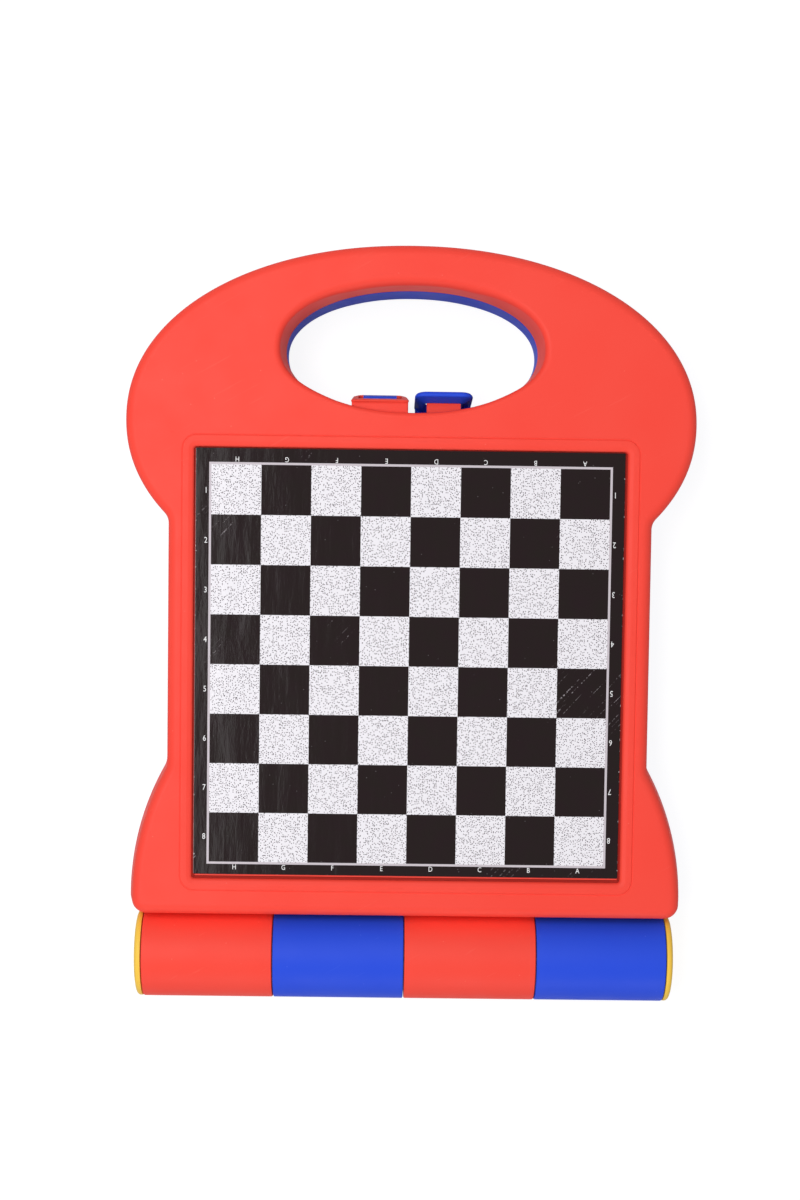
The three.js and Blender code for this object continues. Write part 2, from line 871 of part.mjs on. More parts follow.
const doorTopZ = pocketFloorZ + doorThickness;
const bayFloorZ = doorTopZ + fitGap;
const cellRadius = (panelLowZ - bayFloorZ - cellHeadroom) / 2;
const cellZ = bayFloorZ + cellRadius;
const contactHeight = 2 * cellRadius * contactHeightShare;
const contactSpringRadius = cellRadius * contactSpringShare;
const bayX = -waistHalfWidth * bayAcrossShare;
const bayY = consoleY(bayShare);
const bayLength = cellLength + 2 * (contactSpringLength + contactThickness + 2 * fitGap);
const bayWidth = cellCount * (2 * cellRadius + cellGap) + cellGap;
const doorLedge = bayWall - fitGap - contactThickness;
const doorLowX = bayX - bayLength / 2 - doorLedge;
const doorHighX = bayX + bayLength / 2 + doorScrewLand;
const doorHalfWidth = bayWidth / 2 + doorLedge;
const doorScrewX = doorHighX - doorScrewLand / 2;

function bayBlock() {
  return box(
    bayX - bayLength / 2 - bayWall,
    doorHighX + bayWall,
    bayY - bayWidth / 2 - bayWall,
    bayY + bayWidth / 2 + bayWall,
    pocketFloorZ + doorThickness / 2,
    panelLowZ - fitGap,
  );
}

function bayCuts() {
  const cells = box(
    bayX - bayLength / 2,
    bayX + bayLength / 2,
    bayY - bayWidth / 2,
    bayY + bayWidth / 2,
    -overrun,
    halfThickness,
  );
  const doorSeat = box(
    doorLowX - fitGap,
    doorHighX + fitGap,
    bayY - doorHalfWidth - fitGap,
    bayY + doorHalfWidth + fitGap,
    -overrun,
    bayFloorZ,
  );
  const pilot = upright(
    screwShankRadius + fitGap,
    doorScrewX,
    bayY,
    0,
    doorTopZ + screwBite,
    smallRoundSteps,
  );
  return cells.add(doorSeat).add(pilot);
}

function batteryDoor() {
  const plate = box(
    doorLowX,
    doorHighX,
    bayY - doorHalfWidth,
    bayY + doorHalfWidth,
    pocketFloorZ,
    doorTopZ,
  );
  return plate.subtract(
    upright(screwShankRadius + fitGap, doorScrewX, bayY, 0, bayFloorZ + overrun, smallRoundSteps),
  );
}

function batteryCell() {
  const nub = contactSpringRadius - fitGap;
  const nubHeight = contactSpringLength / 2;
  const profile = [
    [0, 0],
    [cellRadius, 0],
    [cellRadius, cellLength - nubHeight],
    [nub, cellLength - nubHeight],
    [nub, cellLength],
    [0, cellLength],
  ].map(([radius, z]) => new THREE.Vector2(radius, z));
  const geometry = new THREE.LatheGeometry(profile, smallRoundSteps + 4);
  geometry.translate(0, -cellLength / 2, 0);
  geometry.rotateZ(Math.PI / 2);
  return geometryOf(solidOf(geometry));
}

function cellY(index) {
  return bayY + (index - (cellCount - 1) / 2) * (2 * cellRadius + cellGap);
}

// A contact strip at one end of the bay with a sprung cone at each cell.
function contactStrip(side) {
  const wallX = bayX + side * (bayLength / 2 - fitGap);
  const faceX = wallX - side * contactThickness;
  let strip = box(
    Math.min(wallX, faceX),
    Math.max(wallX, faceX),
    bayY - bayWidth / 2 + fitGap,
    bayY + bayWidth / 2 - fitGap,
    cellZ - contactHeight / 2,
    cellZ + contactHeight / 2,
  );
  for (let i = 0; i < cellCount; i++) {
    const root = contactSpringRadius;
    const height = contactSpringLength + contactThickness / 2;
    const cone = new THREE.CylinderGeometry(root / 2, root, height, screwSteps);
    cone.rotateZ((side * Math.PI) / 2);
    cone.translate(wallX - side * (height / 2 + contactThickness / 2), cellY(i), cellZ);
    strip = strip.add(solidOf(cone));
  }
  return strip;
}

// The lid's liner: the same panel as the console's, with a storage well pressed into it.
function lidLiner() {
  const floorZ = innerFaceZ + fitGap;
  const wellHalfLength = boardSide / 2 - wellInset;
  const wellOuter = box(
    -wellHalfLength,
    wellHalfLength,
    -wellHalfWidth,
    wellHalfWidth,
    floorZ,
    panelLowZ + panelThickness / 2,
  );
  const wellInner = box(
    -wellHalfLength + wellWall,
    wellHalfLength - wellWall,
    -wellHalfWidth + wellWall,
    wellHalfWidth - wellWall,
    floorZ + wellWall,
    halfThickness,
  );
  return innerPanel().add(wellOuter).subtract(wellInner);
}

function boardLabel() {
  return box(
    -labelSide / 2,
    labelSide / 2,
    -labelSide / 2,
    labelSide / 2,
    pocketFloorZ - labelThickness,
    pocketFloorZ,
  );
}

function hingeTube() {
  const end = barrelHalfLength - tubeEndGap;
  const outer = alongX(tubeRadius, -end, end, barrelAxisY, halfThickness, roundSteps);
  const bore = alongX(
    tubeRadius - tubeWall,
    -end - overrun,
    end + overrun,
    barrelAxisY,
    halfThickness,
    roundSteps,
  );
  return outer.subtract(bore);
}

// An end cap about the barrel axis: a rim as wide as the barrel and a hollow plug that goes into the tube.
function endCap() {
  const plugRadius = tubeRadius - tubeWall - fitGap;
  const profile = [
    [0, 0],
    [plugRadius - capPlugWall, 0],
    [plugRadius - capPlugWall, -capPlugLength],
    [plugRadius, -capPlugLength],
    [plugRadius, 0],
    [capRadius, 0],
    [capRadius, capThickness - capRimRadius],
    [capRadius - capRimRadius / 3, capThickness - capRimRadius / 3],
    [capRadius - capRimRadius, capThickness],
    [0, capThickness],
  ].map(([radius, x]) => new THREE.Vector2(radius, x));
  const geometry = new THREE.LatheGeometry(profile, roundSteps);
  geometry.rotateZ(-Math.PI / 2);
  return geometryOf(solidOf(geometry));
}

function latchPin() {
  const lowX = latchX - latchWidth / 2 - latchSideGap - latchSeatWall / 4 + fitGap;
  const highX = latchX + latchWidth / 2 + latchSideGap + latchPinBite - fitGap;
  return alongX(latchPinRadius, lowX, highX, pivotY, pivotZ, smallRoundSteps);
}

function lowerShell() {
  let shell = halfShell().add(bayBlock());
  for (const [x, y] of boardScrewPlaces) {
    const topZ = boardLowZ - fitGap;
    shell = shell.add(upright(postRadius, x, y, pocketFloorZ + faceThickness / 4, topZ, smallRoundSteps));
    shell = shell.subtract(pilotHole(x, y, topZ, boardScrewBite));
  }
  return shell.subtract(bayCuts());
}

// The assembly: one group for each half, then everything moved so that the middle of its box is the origin.

const model = new THREE.Group();
const lowerHalf = new THREE.Group();
const upperHalf = new THREE.Group();
upperHalf.rotation.y = Math.PI;
upperHalf.position.z = caseThickness;
const highY = headCentreY + headHalfHeight;
const lowY = barrelAxisY - barrelRadius;
model.position.y = -(highY + lowY) / 2;
model.add(lowerHalf, upperHalf);

const looks = {
  red: { color: "#fb5044", roughness: 0.5 },
  blue: { color: "#2c46c8", roughness: 0.5 },
  yellow: { color: "#f8c043", roughness: 0.5 },
  print: { color: "#2b2324", roughness: 0.25 },
  console: { color: "#2f3a5f", roughness: 0.6 },
  liner: { color: "#e9584c", roughness: 0.6 },
  keys: { color: "#e8e6e0", roughness: 0.5 },
  commandKeys: { color: "#f8c043", roughness: 0.5 },
  clear: { color: "#9fb0b0", roughness: 0.1 },
  display: { color: "#8d9a86", roughness: 0.3 },
  circuit: { color: "#1f6b3a", roughness: 0.5 },
  chip: { color: "#1c1c1e", roughness: 0.5 },
  rubber: { color: "#4a4a4c", roughness: 0.9 },
  steel: { color: "#b9bcc0", roughness: 0.35, metalness: 1 },
  brass: { color: "#b79a55", roughness: 0.35, metalness: 1 },
  cell: { color: "#c9b037", roughness: 0.4 },
  tube: { color: "#d9d6cf", roughness: 0.6 },
};

function place(parent, name, shape, look) {
  const geometry = shape.isBufferGeometry ? shape : geometryOf(shape);
  const mesh = new THREE.Mesh(geometry, new THREE.MeshStandardMaterial(looks[look]));
  mesh.name = name;
  parent.add(mesh);
  return mesh;
}

place(lowerHalf, "blue_shell", lowerShell(), "blue");
place(upperHalf, "red_shell", halfShell(), "red");
place(lowerHalf, "hinge_tube", hingeTube(), "tube");

const rightCap = place(lowerHalf, "end_cap_right", endCap(), "yellow");
rightCap.position.set(barrelHalfLength + tubeEndGap, barrelAxisY, halfThickness);
const leftCap = place(lowerHalf, "end_cap_left", endCap(), "yellow");
leftCap.rotation.z = Math.PI;
leftCap.position.set(-barrelHalfLength - tubeEndGap, barrelAxisY, halfThickness);

place(upperHalf, "board_label", boardLabel(), "print");
place(upperHalf, "lid_liner", lidLiner(), "liner");
place(lowerHalf, "console_panel", consolePanel(), "console");
place(lowerHalf, "display_window", windowPane(), "clear");
place(lowerHalf, "display_module", displayModule(), "display");
place(lowerHalf, "circuit_board", circuitBoard(), "circuit");
place(lowerHalf, "processor_chip", processorChip(), "chip");
place(lowerHalf, "key_mat", keyMat(), "rubber");
const speaker = place(lowerHalf, "loudspeaker", loudspeaker(), "rubber");
speaker.position.set(speakerX, speakerY, panelLowZ - fitGap - speakerDepth);

for (const key of keys) {
  const look = key.length === keyLength ? "keys" : "commandKeys";
  const cap = place(lowerHalf, key.name, keyCap(key.length), look);
  cap.position.set(key.x, key.y, 0);
}

place(lowerHalf, "battery_door", batteryDoor(), "blue");
const doorScrew = place(lowerHalf, "battery_door_screw", screw(screwBite - screwHeadHeight), "steel");
doorScrew.rotation.x = Math.PI;
doorScrew.position.set(doorScrewX, bayY, pocketFloorZ);
place(lowerHalf, "battery_contact_left", contactStrip(-1), "brass");
place(lowerHalf, "battery_contact_right", contactStrip(1), "brass");
for (let i = 0; i < cellCount; i++) {
  const cell = place(lowerHalf, `battery_${i + 1}`, batteryCell(), "cell");
  cell.rotation.z = i % 2 === 0 ? 0 : Math.PI;
  cell.position.set(bayX, cellY(i), cellZ);
}

boardScrewPlaces.forEach(([x, y], i) => {
  const shape = screw(boardScrewBite + boardThickness);
  const boardScrew = place(lowerHalf, `board_screw_${i + 1}`, shape, "steel");
  boardScrew.position.set(x, y, boardTopZ);
});

for (const [parent, prefix] of [
  [lowerHalf, "console_screw"],
  [upperHalf, "liner_screw"],
]) {
  let count = 0;
  for (const [x, y] of bossPlaces) {
    for (const side of [-1, 1]) {
      count += 1;
      const panelScrew = place(parent, `${prefix}_${count}`, screw(screwBite), "steel");
      panelScrew.position.set(side * x, y, panelTopZ - screwHeadRecess);
    }
  }
}

for (const [parent, colour, ajar] of [
  [lowerHalf, "blue", 0],
  [upperHalf, "red", redLatchAjar],
]) {
  const latch = place(parent, `${colour}_latch`, hoopLatch(), colour);
  latch.rotation.set(-THREE.MathUtils.degToRad(ajar), Math.PI, 0);
  latch.position.set(latchX, pivotY, pivotZ);
  place(parent, `${colour}_latch_pin`, latchPin(), "steel");
}

export default model;
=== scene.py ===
"""Folding chess case with a small chess computer inside, shut, seen from above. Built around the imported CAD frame."""

import math
from functools import partial

import bmesh
import bpy
import numpy as np
from mathutils.geometry import tessellate_polygon
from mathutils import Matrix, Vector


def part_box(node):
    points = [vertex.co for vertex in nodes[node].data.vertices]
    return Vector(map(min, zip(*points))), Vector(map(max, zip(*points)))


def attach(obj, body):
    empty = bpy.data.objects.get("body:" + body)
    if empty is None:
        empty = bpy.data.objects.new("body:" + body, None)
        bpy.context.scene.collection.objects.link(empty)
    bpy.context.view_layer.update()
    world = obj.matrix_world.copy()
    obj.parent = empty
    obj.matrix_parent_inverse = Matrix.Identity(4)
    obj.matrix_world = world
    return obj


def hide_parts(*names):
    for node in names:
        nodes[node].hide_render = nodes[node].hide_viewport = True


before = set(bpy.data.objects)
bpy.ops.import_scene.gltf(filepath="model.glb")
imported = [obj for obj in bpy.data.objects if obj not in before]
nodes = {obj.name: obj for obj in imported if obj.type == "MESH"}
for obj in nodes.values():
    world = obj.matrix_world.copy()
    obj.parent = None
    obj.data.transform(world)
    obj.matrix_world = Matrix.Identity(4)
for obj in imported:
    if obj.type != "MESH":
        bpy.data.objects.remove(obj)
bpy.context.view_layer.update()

# Lower half of the case: one injection moulding in blue ABS, open towards the seam, with a raised band and a square
# pocket on its outer face, a hand opening with a rounded rim, and two of the four knuckles of the barrel hinge.

MM = 0.001
CASE_SHIFT_Y = -17.55  # the board's centre, in the frame of the whole case
ORIGIN = (0.0, 0.0, 0.0)
HALF_THICKNESS = 20.0
SEAM_Z = 19.85
FACE_Z = 0.4
INNER_FACE_Z = 3.3
SHELL_WALL = 2.2
RIM_RADIUS = 4.5
ROUNDNESS = 2.1
POCKET_HALF = 95.3
POCKET_DEPTH = 1.5
BAND_WIDTH = 5.8
BAND_CORNER = 6.7
FOOT_Y = -111.9
BARREL_Y = -132.0
BARREL_RADIUS = 19.75
BORE_RADIUS = 16.9
OUTLINE_POINTS = 980
OPENING_Y = 139.5
RECESS_HALF = 27.6  # the latch recess reaches this far to each side of the middle
RECESS_BACK_Y = 104.0
RECESS_Z = 2.4
SEAT_HALF = 34.0
SEAT_BACK_Y = 101.6
BAY_TOP_Z = 14.0
BAY_RINGS = (  # low x, high x, low y, high y: the door's seat, the battery bay, and the outside of the bay's wall
    (-71.5, -9.55, 47.0, 84.9),
    (-69.2, -18.85, 49.35, 82.55),
    (-73.4, -7.7, 45.4, 86.5),
)


def linear(hex_colour):
    """sRGB hex to linear RGBA: each channel is c/12.92 below 0.04045, else ((c + 0.055)/1.055)^2.4."""
    channels = np.array([int(hex_colour[i : i + 2], 16) / 255 for i in (1, 3, 5)])
    low = channels / 12.92
    high = ((channels + 0.055) / 1.055) ** 2.4
    return (*np.where(channels <= 0.04045, low, high).tolist(), 1.0)


def fill(node, sockets):
    """Gives each named input of a node its value, or a link from another node's output. A node given as the value
    stands for the first of its outputs that is in use, and a text for the colour it names in hex."""
    for key, value in sockets.items():
        if isinstance(value, bpy.types.Node):
            value = next(output for output in value.outputs if output.enabled)
        elif isinstance(value, str):
            value = linear(value)
        if isinstance(value, bpy.types.NodeSocket):
            node.id_data.links.new(value, node.inputs[key])
        else:
            node.inputs[key].default_value = value


def add_node(tree, kind, sockets=None, **settings):
    """Adds one shader node of the given kind with its settings, and fills its sockets."""
    node = tree.nodes.new("ShaderNode" + kind)
    for key, value in settings.items():
        setattr(node, key, value)
    fill(node, sockets or {})
    return node


def new_material(name):
    """An empty node material: what adds a node to it, its Principled shader and an Object coordinate in mm."""
    material = bpy.data.materials.new(name)
    material.use_nodes = True
    material.node_tree.nodes.clear()
    node = partial(add_node, material.node_tree)
    shader = node("BsdfPrincipled")
    node("OutputMaterial", {"Surface": shader})
    place = node("TexCoord").outputs["Object"]
    return material, node, shader, node("VectorMath", {0: place, "Scale": 1 / MM}, operation="SCALE")


def moulded_plastic(name, hex_colour, worn_hex, roughness=0.5, grain_mm=0.5, rubs=0.12):
    """Injection-moulded plastic with a satin finish. The eye sees an even, slightly waxy colour with a soft sheen,
    shallow flow mottling, a fine grain that breaks the highlight, and a few pale rub marks and pin-head dents."""
    material, node, shader, place = new_material(name)
    # flow mottling, about 40 mm across
    flow = node("TexNoise", {"Vector": place, "Scale": 1 / 38.0})
    flow_share = node("MapRange", {"Value": flow, "From Min": 0.35, "From Max": 0.65, "To Max": 0.05})
    colour = node("Mix", {0: flow_share, 6: hex_colour, 7: worn_hex}, data_type="RGBA")
    # pin-head dents of 0.6 mm, about one to 900 square millimetres
    dents = node("TexVoronoi", {"Vector": place, "Scale": 1 / 7.0})
    dent_share = node("MapRange", {"Value": dents, "From Min": 0.025, "From Max": 0.05, "To Min": 0.5, "To Max": 0.0})
    colour = node("Mix", {0: dent_share, 6: colour, 7: worn_hex}, data_type="RGBA")
    # rub marks: long thin streaks, a noise stretched along one way
    stretch = node(
        "Mapping", {"Vector": place, "Rotation": (0.0, 0.0, 0.5), "Scale": (16.7, 0.62, 1.0)}, vector_type="TEXTURE"
    )
    streaks = node("TexNoise", {"Vector": stretch, "Scale": 0.45, "Detail": 3.0})
    streak_share = node("MapRange", {"Value": streaks, "From Min": 0.68, "From Max": 0.74, "To Max": rubs})
    colour = node("Mix", {0: streak_share, 6: colour, 7: worn_hex}, data_type="RGBA")
    fill(shader, {"Base Color": colour})
    sheen = node("TexNoise", {"Vector": place, "Scale": 1 / 14.0, "Detail": 3.0})
    sheen_range = node(
        "MapRange",
        {"Value": sheen, "From Min": 0.3, "From Max": 0.7, "To Min": roughness - 0.04, "To Max": roughness + 0.05},
    )
    fill(shader, {"Roughness": sheen_range, "IOR": 1.43, "Specular IOR Level": 0.24})
    # moulded grain over a shallow sink of the face
    grain = node("TexNoise", {"Vector": place, "Scale": 1 / grain_mm})
    grain_bump = node("Bump", {"Strength": 0.06, "Distance": 0.00012, "Height": grain})
    sink = node("TexNoise", {"Vector": place, "Scale": 1 / 30.0, "Detail": 1.0})
    sink_bump = node("Bump", {"Strength": 0.1, "Distance": 0.0004, "Height": sink, "Normal": grain_bump})
    fill(shader, {"Normal": sink_bump})
    return material


def superellipse(half_width, half_height, centre_y, angles):
    """Points of |x/a|^n + |y/b|^n = 1 at the given angles: x = a sgn(cos)|cos|^(2/n), y likewise with the sine."""
    c, s = np.cos(angles), np.sin(angles)
    power = 2 / ROUNDNESS
    x = half_width * np.sign(c) * np.abs(c) ** power
    y = centre_y + half_height * np.sign(s) * np.abs(s) ** power
    return np.column_stack([x, y])


def arc(centre_x, centre_y, radius, start, end, steps):
    """Points of a circle from angle start to end."""
    angles = np.linspace(start, end, steps)
    return np.column_stack([centre_x + radius * np.cos(angles), centre_y + radius * np.sin(angles)])


def quarter(centre, radius, start, end, steps):
    """Profile points of a rounding: an arc about centre from angle start to end, in degrees."""
    return arc(*centre, radius, math.radians(start), math.radians(end), steps)


def ring_of(half_x, half_y, corner, centre=(0.0, 0.0), steps=7):
    """A rectangle with round corners as an anticlockwise ring, and its inward unit normals."""
    starts = np.arange(4) * math.pi / 2
    angles = np.linspace(starts, starts + math.pi / 2, steps).T.ravel()
    outwards = np.column_stack([np.cos(angles), np.sin(angles)])
    signs = np.repeat([[1, 1], [-1, 1], [-1, -1], [1, -1]], steps, axis=0)
    return np.array(centre) + signs * [half_x - corner, half_y - corner] + corner * outwards, -outwards


def even_ring(points, count):
    """A closed ring run through again as count points that lie evenly along it."""
    closed = np.vstack([points, points[:1]])
    along = np.concatenate([[0.0], np.cumsum(np.hypot(*np.diff(closed, axis=0).T))])
    targets = np.arange(count) * along[-1] / count
    return np.column_stack([np.interp(targets, along, closed[:, i]) for i in (0, 1)])


def case_outline(hip, waist, flare, crease, head_a, head_b, head_y):
    """The outline seen from above, anticlockwise from the foot: corner arc, flare arc of about 122 mm, crease arc,
    straight waist, crease arc, and the round head, a superellipse. The left side is the right one mirrored."""
    corner = 6.5
    corner_y = FOOT_Y + corner
    foot = arc(hip - corner, corner_y, corner, -math.pi / 2, 0, 14)
    flare_x, crease_x = hip - flare, waist + crease
    low_y = corner_y + math.sqrt((flare + crease) ** 2 - (crease_x - flare_x) ** 2)
    flare_end = math.atan2(low_y - corner_y, crease_x - flare_x)
    side = arc(flare_x, corner_y, flare, 0, flare_end, 60)[1:]
    low_crease = arc(crease_x, low_y, crease, math.pi + flare_end, math.pi, 10)[1:]
    # the head's own angle at which a crease arc touches both it and the waist
    angles = np.linspace(-math.pi / 2, 0, 40001)[1:-1]
    head = superellipse(head_a, head_b, head_y, angles)
    gradient = np.column_stack(
        [
            (np.abs(head[:, 0]) / head_a) ** (ROUNDNESS - 1) / head_a,
            -((np.abs(head[:, 1] - head_y) / head_b) ** (ROUNDNESS - 1)) / head_b,
        ]
    )
    gradient /= np.hypot(*gradient.T)[:, None]
    touch = np.argmin(np.abs(head[:, 0] + gradient[:, 0] * crease - crease_x))
    centre = head[touch] + gradient[touch] * crease
    end = math.atan2(-gradient[touch, 1], -gradient[touch, 0])
    high_crease = arc(*centre, crease, math.pi, end % (2 * math.pi), 10)
    waist_line = np.linspace(low_crease[-1], high_crease[0], 42)[1:-1]
    crown = superellipse(head_a, head_b, head_y, np.linspace(angles[touch], math.pi / 2, 220))[1:]
    right = np.vstack([foot, side, low_crease, waist_line, high_crease, crown])
    left = right[-2:0:-1] * [-1, 1]
    foot_line = np.linspace([-(hip - corner), FOOT_Y], [hip - corner, FOOT_Y], 80)[:-1]
    return even_ring(np.vstack([right, left, foot_line]), OUTLINE_POINTS)


def inward_normals(ring):
    """Unit normals that point to the inside of an anticlockwise ring."""
    along = np.roll(ring, -1, axis=0) - np.roll(ring, 1, axis=0)
    along /= np.hypot(*along.T)[:, None]
    return np.column_stack([-along[:, 1], along[:, 0]])


def carried(ring, normals, profile):
    """A profile of points (d, z) carried round a ring: each point is the ring's point moved d along its normal, at
    height z. profile has one row for every ring point, or one for all of them."""
    xy = ring[:, None, :] + normals[:, None, :] * profile[..., :1]
    z = np.broadcast_to(profile[..., 1:], xy.shape[:2] + (1,))
    return np.concatenate([xy, z], axis=2)


def grid_faces(rows, columns, closed_rows=False, closed_columns=False):
    """Quads of a grid of points whose number is row * columns + column."""
    i = np.arange(rows if closed_rows else rows - 1)[:, None]
    j = np.arange(columns if closed_columns else columns - 1)[None, :]
    a = i * columns + j
    b = ((i + 1) % rows) * columns + j
    c = ((i + 1) % rows) * columns + (j + 1) % columns
    d = i * columns + (j + 1) % columns
    return np.stack([a, b, c, d], axis=-1).reshape(-1, 4).tolist()


def flat_fill(rings, z):
    """A flat face at height z inside the first ring and outside the others, as points and triangles."""
    rings = [ring[np.any(np.abs(ring - np.roll(ring, 1, axis=0)) > 1e-6, axis=1)] for ring in rings]
    rings = [np.column_stack([ring, np.full(len(ring), z)]) for ring in rings]
    return np.vstack(rings), tessellate_polygon([ring.tolist() for ring in rings])


def solid_piece(name, parts, material, turned_over=False, shift=(0.0, CASE_SHIFT_Y, 0.0)):
    """One closed mesh from parts, each points in millimetres and faces. The parts share their border points, which are
    merged, and the normals are then turned outwards. turned_over makes it the other half: x -> -x, z -> 40 - z."""
    points, faces, first = [], [], 0
    for part_points, part_faces in parts:
        part_points = np.asarray(part_points, float).reshape(-1, 3)
        points.append(part_points)
        faces += [tuple(int(i) + first for i in face) for face in part_faces]
        first += len(part_points)
    points = np.vstack(points) + np.array(shift)
    if turned_over:
        points = points * [-1, 1, -1] + [0, 0, 2 * HALF_THICKNESS]
    mesh = bpy.data.meshes.new(name)
    mesh.from_pydata((points * MM).tolist(), [], faces)
    work = bmesh.new()
    work.from_mesh(mesh)
    bmesh.ops.remove_doubles(work, verts=work.verts, dist=2e-6)
    bmesh.ops.dissolve_degenerate(work, edges=work.edges, dist=1e-7)
    bmesh.ops.recalc_face_normals(work, faces=work.faces)
    work.to_mesh(mesh)
    work.free()
    mesh.shade_smooth()
    mesh.set_sharp_from_angle(angle=math.radians(32.0))
    piece = bpy.data.objects.new(name, mesh)
    bpy.context.scene.collection.objects.link(piece)
    mesh.materials.append(material)
    # the large flat faces set the normals of their borders, so that they shade flat
    weighted = piece.modifiers.new("large_faces_shade_flat", "WEIGHTED_NORMAL")
    weighted.mode = "FACE_AREA"
    weighted.weight = 50
    weighted.keep_sharp = True
    return piece


def mounted(piece, body, slot, *replaced):
    """Lets the piece ride on its body and hides the CAD nodes it stands for. The argument slot is not used."""
    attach(piece, body)
    if replaced:
        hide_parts(*replaced)
    return piece


# the walls lean in from the seam to the rim, the draft that lets the moulding leave its tool
SEAM_OUTLINE = case_outline(hip=124.9, waist=108.65, flare=121.5, crease=9.0, head_a=127.5, head_b=77.35, head_y=109.5)
RIM_OUTLINE = case_outline(hip=122.6, waist=107.1, flare=122.4, crease=6.6, head_a=126.1, head_b=77.15, head_y=107.6)
OPENING = superellipse(56.2, 27.8, OPENING_Y, np.linspace(-math.pi, math.pi, 361)[:-1])


def half_shell_parts(battery_bay, side_lean, far_lean):
    """The moulding in its own frame, outer face down: a profile carried round the seam's outline (inner wall and seam
    edge), one round the rim's (4.5 mm rounding), one round the hand opening, one round the band, and the flat faces
    between them. The opening's wall leans away from the hole towards the outer face, by side_lean at its two ends and
    far_lean at the side away from the latches. With battery_bay, rectangles carried upwards make the door's seat and
    the bay's wall."""
    seam = np.vstack(
        [[[SHELL_WALL, SEAM_Z - 0.3], [SHELL_WALL - 0.15, SEAM_Z]], quarter((0.35, SEAM_Z - 0.35), 0.35, 90, 180, 5)]
    )
    foot_of_wall = np.array([[SHELL_WALL, INNER_FACE_Z]])
    rim = quarter((RIM_RADIUS, FACE_Z + RIM_RADIUS), RIM_RADIUS, 180, 270, 18)
    rim_normals = inward_normals(RIM_OUTLINE)
    wall = np.concatenate(
        [
            carried(RIM_OUTLINE, rim_normals, foot_of_wall[None]),
            carried(SEAM_OUTLINE, inward_normals(SEAM_OUTLINE), seam[None]),
            carried(RIM_OUTLINE, rim_normals, rim[None]),
        ],
        axis=1,
    )
    parts = [(wall.reshape(-1, 3), grid_faces(*wall.shape[:2], closed_rows=True))]

    # Hand opening: away from the hole is outwards from the ring. Near the latches the wall is only a lip, with the
    # recess behind it and the thick seat behind that.
    ring = OPENING.copy()
    normals = -inward_normals(ring)
    near = ring[:, 1] < OPENING_Y
    breaks = []
    for half_length in (RECESS_HALF, SEAT_HALF):
        for side in (-1, 1):
            breaks.append(int(np.argmin(np.where(near, np.abs(ring[:, 0] - side * half_length), 1e9))))
            ring[breaks[-1], 0] = side * half_length
    order = np.repeat(np.arange(len(ring)), [2 if i in breaks else 1 for i in range(len(ring))])
    path, path_normals = ring[order], normals[order]
    x, y = path[:, 0], path[:, 1]
    # the rim is rounded by 2.9 to 4.2 mm, but only by 2 mm near the latches
    far = y >= OPENING_Y
    at_end = np.clip((np.abs(x) - 26.0) / 28.0, 0.0, 1.0)
    near_end = np.clip((np.abs(x) - 38.0) / 18.0, 0.0, 1.0)
    lean = np.where(far, far_lean + (side_lean - far_lean) * at_end, side_lean * near_end**2)
    radius = np.where(far, 4.2 - 1.3 * at_end, 2.0 + 0.9 * near_end)
    turn = quarter((0.0, 0.0), 1.0, 270, 180, 12)
    edge = quarter((0.6, SEAM_Z - 0.6), 0.6, 180, 90, 4)
    foot = np.stack([SHELL_WALL + lean + 0.25 * (radius - 2.0), np.full(len(x), INNER_FACE_Z)], axis=-1)
    rows = np.concatenate(
        [
            np.stack([lean + radius + 1.0, np.full(len(x), FACE_Z)], axis=-1)[:, None],
            np.stack([lean + radius, FACE_Z + radius], axis=-1)[:, None] + radius[:, None, None] * turn[None],
            np.broadcast_to([[0, SEAM_Z - 0.6]], (len(x), 4, 2)),
            np.broadcast_to(edge, (len(x), 4, 2)),
            np.broadcast_to([[SHELL_WALL - 0.2, SEAM_Z], [SHELL_WALL, SEAM_Z - 0.2]], (len(x), 2, 2)),
            foot[:, None],
        ],
        axis=1,
    )
    points = carried(path, path_normals, rows)
    inside_recess = ~far & (np.abs(x) < RECESS_HALF - 1e-6)
    inside_seat = ~far & (np.abs(x) < SEAT_HALF - 1e-6)
    # of two doubled points on a border, the one nearer the middle belongs to the recess or the seat
    second = np.flatnonzero(order[1:] == order[:-1]) + 1
    for limit, mask in ((RECESS_HALF, inside_recess), (SEAT_HALF, inside_seat)):
        chosen = second[np.abs(np.abs(x[second]) - limit) < 1e-6]
        mask[np.where(x[chosen] < 0, chosen, chosen - 1)] = True
    inside_seat |= inside_recess
    lip = 1 + len(turn)
    points[inside_recess, lip, 2] = RECESS_Z
    points[inside_recess, lip + 1, 1] = RECESS_BACK_Y
    points[inside_recess, lip + 1, 2] = RECESS_Z
    points[inside_recess, lip + 1, 0] = x[inside_recess]
    for column in range(lip + 2, lip + 8):
        points[inside_recess, column, 0] = x[inside_recess]
        points[inside_recess, column, 1] = RECESS_BACK_Y - (0.0 if column < lip + 4 else 0.35)
        points[inside_recess, column, 2] = SEAM_Z - (0.35 if column < lip + 4 else 0.0)
    for column, z in ((-3, SEAM_Z), (-2, SEAM_Z - 0.2), (-1, INNER_FACE_Z)):
        points[inside_seat, column, 0] = x[inside_seat]
        points[inside_seat, column, 1] = SEAT_BACK_Y
        points[inside_seat, column, 2] = z
    parts.append((points.reshape(-1, 3), grid_faces(*points.shape[:2], closed_rows=True)))
    collar = points[:, -1, :2]
    opening_edge = points[:, 0, :2]

